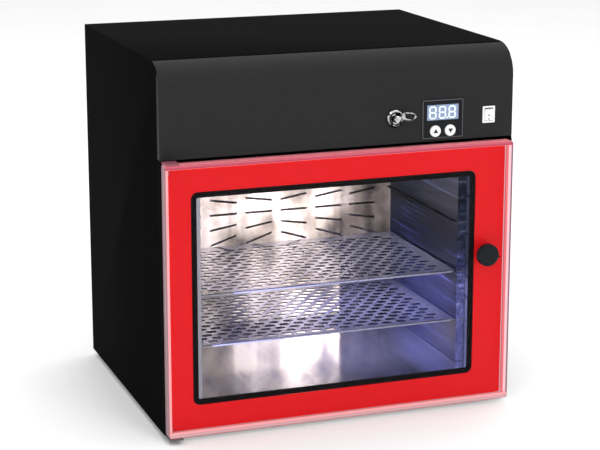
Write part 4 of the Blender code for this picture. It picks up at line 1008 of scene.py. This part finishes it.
# The flash's soft edges on the baffle, each from where it is weak to where it is full
FLASH_RIGHT = (0.1060, 0.1035)
FLASH_UPPER_LEFT = (-0.041, -0.014)
FLASH_LOWER_LEFT = (-0.125, -0.005)
FLASH_PEAK = (0.010, 0.034)
BELOW_UPPER_SHELF = (0.162, 0.152)
BELOW_LOWER_SHELF = (0.115, 0.085)
SHELF_SHEETS = ["shelf_lower_sheet", "shelf_upper_sheet"]
SHELF_LIPS = ["shelf_lower_lip", "shelf_upper_lip"]
VIOLET_PARTS = ["chamber_liner", "shelf_rack_left", "shelf_rack_right", "shelf_rack_left_tabs",
                "shelf_rack_right_tabs", *SHELF_SHEETS, *SHELF_LIPS]


def group(name, pieces):
    """A collection outside the scene, which a light uses to say what it lights or what shades it."""
    collection = bpy.data.collections.new(name)
    for piece in pieces:
        collection.objects.link(bpy.data.objects[piece])
    return collection


def add_light(name, data, place, lit=None, blockers=None):
    """Puts a light in the scene. It can be kept to some lit pieces, and its shadows to some blockers."""
    obj = bpy.data.objects.new(name, data)
    bpy.context.scene.collection.objects.link(obj)
    obj.location = place
    if lit:
        obj.light_linking.receiver_collection = group(name + "_lit", lit)
    if blockers:
        obj.light_linking.blocker_collection = group(name + "_blockers", blockers)
    return obj


def area_light(name, place, target, size, energy, colour=WHITE, spread_angle=180, **linked):
    """A panel of light of (width, height), turned from its place to the target."""
    data = bpy.data.lights.new(name, "AREA")
    data.shape = "RECTANGLE"
    data.size, data.size_y = size
    data.energy = energy
    data.color = colour
    data.spread = math.radians(spread_angle)
    obj = add_light(name, data, place, **linked)
    obj.rotation_euler = (Vector(target) - Vector(place)).to_track_quat("-Z", "Y").to_euler()
    return obj


def inner_light(*settings, **linked):
    """An area light that no mirror and no camera sees."""
    light = area_light(*settings, **linked)
    light.visible_glossy = False
    light.visible_camera = False


def flash_brightness(tree, x, z, bottom):
    """How bright the flash is at (x, z) on the baffle: dim at its left, brightest at its lower right."""

    def raised(base, gain, value, edge):
        """base, and gain more past the soft edge."""
        return calculate(tree, "MULTIPLY_ADD", step(tree, value, *edge), gain, base)

    above = calculate(tree, "MULTIPLY", raised(0.31, 0.52, x, FLASH_UPPER_LEFT),
                      raised(1.0, 0.90, z, BELOW_UPPER_SHELF))
    below = raised(raised(0.12, 0.80, x, FLASH_LOWER_LEFT), 3.60, x, FLASH_PEAK)
    bright = raised(above, calculate(tree, "SUBTRACT", below, above), z, BELOW_LOWER_SHELF)
    foot = step(tree, z, bottom + 0.008, bottom + 0.016)
    lit = calculate(tree, "MULTIPLY", step(tree, x, *FLASH_RIGHT), foot)
    return calculate(tree, "MULTIPLY", lit, bright)


def make_baffle_flash():
    """The window-shaped patch of light on the rear baffle, which the shelves and the floor mirror."""
    _, (baffle, _), (bottom, _) = limits("rear_baffle")
    middle_x, middle_z = centre("rear_baffle")
    data = bpy.data.lights.new("baffle_flash", "SPOT")
    data.energy = FLASH_ENERGY
    data.spot_size = 2 * math.atan(FLASH_REACH / FLASH_DISTANCE)
    data.spot_blend = 0.0
    data.shadow_soft_size = 0.002
    data.use_nodes = True
    tree = data.node_tree
    ahead = component(tree, "Normal", "Z")
    across = calculate(tree, "DIVIDE", component(tree, "Normal", "X"), ahead)
    upward = calculate(tree, "DIVIDE", component(tree, "Normal", "Y"), ahead)
    x = calculate(tree, "MULTIPLY_ADD", across, -FLASH_DISTANCE, middle_x)
    z = calculate(tree, "MULTIPLY_ADD", upward, -FLASH_DISTANCE, middle_z)
    strength = flash_brightness(tree, x, z, bottom)
    tree.links.new(strength, tree.nodes["Emission"].inputs["Strength"])
    place = (middle_x, y_at(baffle) - FLASH_DISTANCE, middle_z)
    obj = add_light("baffle_flash", data, place, ["rear_baffle"], ["rear_baffle"])
    obj.rotation_euler = (math.radians(90), 0.0, 0.0)


def make_lights():
    area_light("key_light", (-1.2, -2.0, 2.2), (0.0, 0.0, 0.2), (1.6, 1.6), 12)
    area_light("top_light", (0.3, 0.8, 3.0), (0.0, 0.0, 0.0), (3.0, 3.0), 40)
    make_baffle_flash()
    inner_light("baffle_fill", (0.02, y_at(0.070), 0.22), (0.02, y_at(0.277), 0.22), (0.24, 0.05), 0.46,
                (0.96, 0.94, 1.0), 70)
    inner_light("front_fill", (-0.05, y_at(0.008), 0.17), (0.02, y_at(0.10), 0.14), (0.25, 0.20), 0.70,
                (0.50, 0.53, 1.0), lit=VIOLET_PARTS)
    for level, z, energy in (("low", 0.084, 1.15), ("middle", 0.150, 1.10)):
        inner_light("violet_light_" + level, (0.06, y_at(0.15), z), (0.06, y_at(0.15), z - 0.1),
                    (0.22, 0.16), energy, VIOLET, lit=VIOLET_PARTS)
    inner_light("violet_light_high", (0.09, y_at(0.15), 0.27), (0.09, y_at(0.15), 0.1), (0.18, 0.16), 0.80,
                (0.72, 0.76, 1.0), lit=["shelf_upper_sheet"])
    inner_light("trim_light", (-0.4, y_at(-0.9), 0.5), (0.0, y_at(0.0), 0.17), (0.5, 0.5), 11,
                lit=["mouth_trim", *SHELF_LIPS], blockers=["mouth_trim"])
    inner_light("floor_light", (0.4, -2.2, 1.8), (0.2, -0.4, 0.0), (1.2, 1.2), 22, lit=["floor"])


def make_camera():
    data = bpy.data.cameras.new("camera")
    data.lens = CAMERA_LENS
    data.sensor_width = 36
    data.shift_y = CAMERA_SHIFT_Y
    camera = bpy.data.objects.new("camera", data)
    bpy.context.scene.collection.objects.link(camera)
    camera.location = CAMERA_PLACE
    ahead = Vector((math.sin(CAMERA_YAW) * math.cos(CAMERA_PITCH),
                    math.cos(CAMERA_YAW) * math.cos(CAMERA_PITCH), math.sin(CAMERA_PITCH)))
    camera.rotation_euler = ahead.to_track_quat("-Z", "Y").to_euler()
    bpy.context.scene.camera = camera


def main():
    bpy.context.scene.view_settings.view_transform = "Standard"
    dress_frame()
    make_wrapper()
    make_gap_fillers()
    make_fascia()
    make_rear_screws()
    make_shelf("shelf_lower", "lower_shelf")
    make_shelf("shelf_upper", "upper_shelf")
    make_rack_strips()
    make_mouth_trim()
    make_door_cover()
    make_gasket()
    make_knob()
    make_lock()
    make_key()
    make_module()
    make_display()
    make_buttons()
    make_rocker()
    make_stage()
    make_lights()
    make_camera()


main()
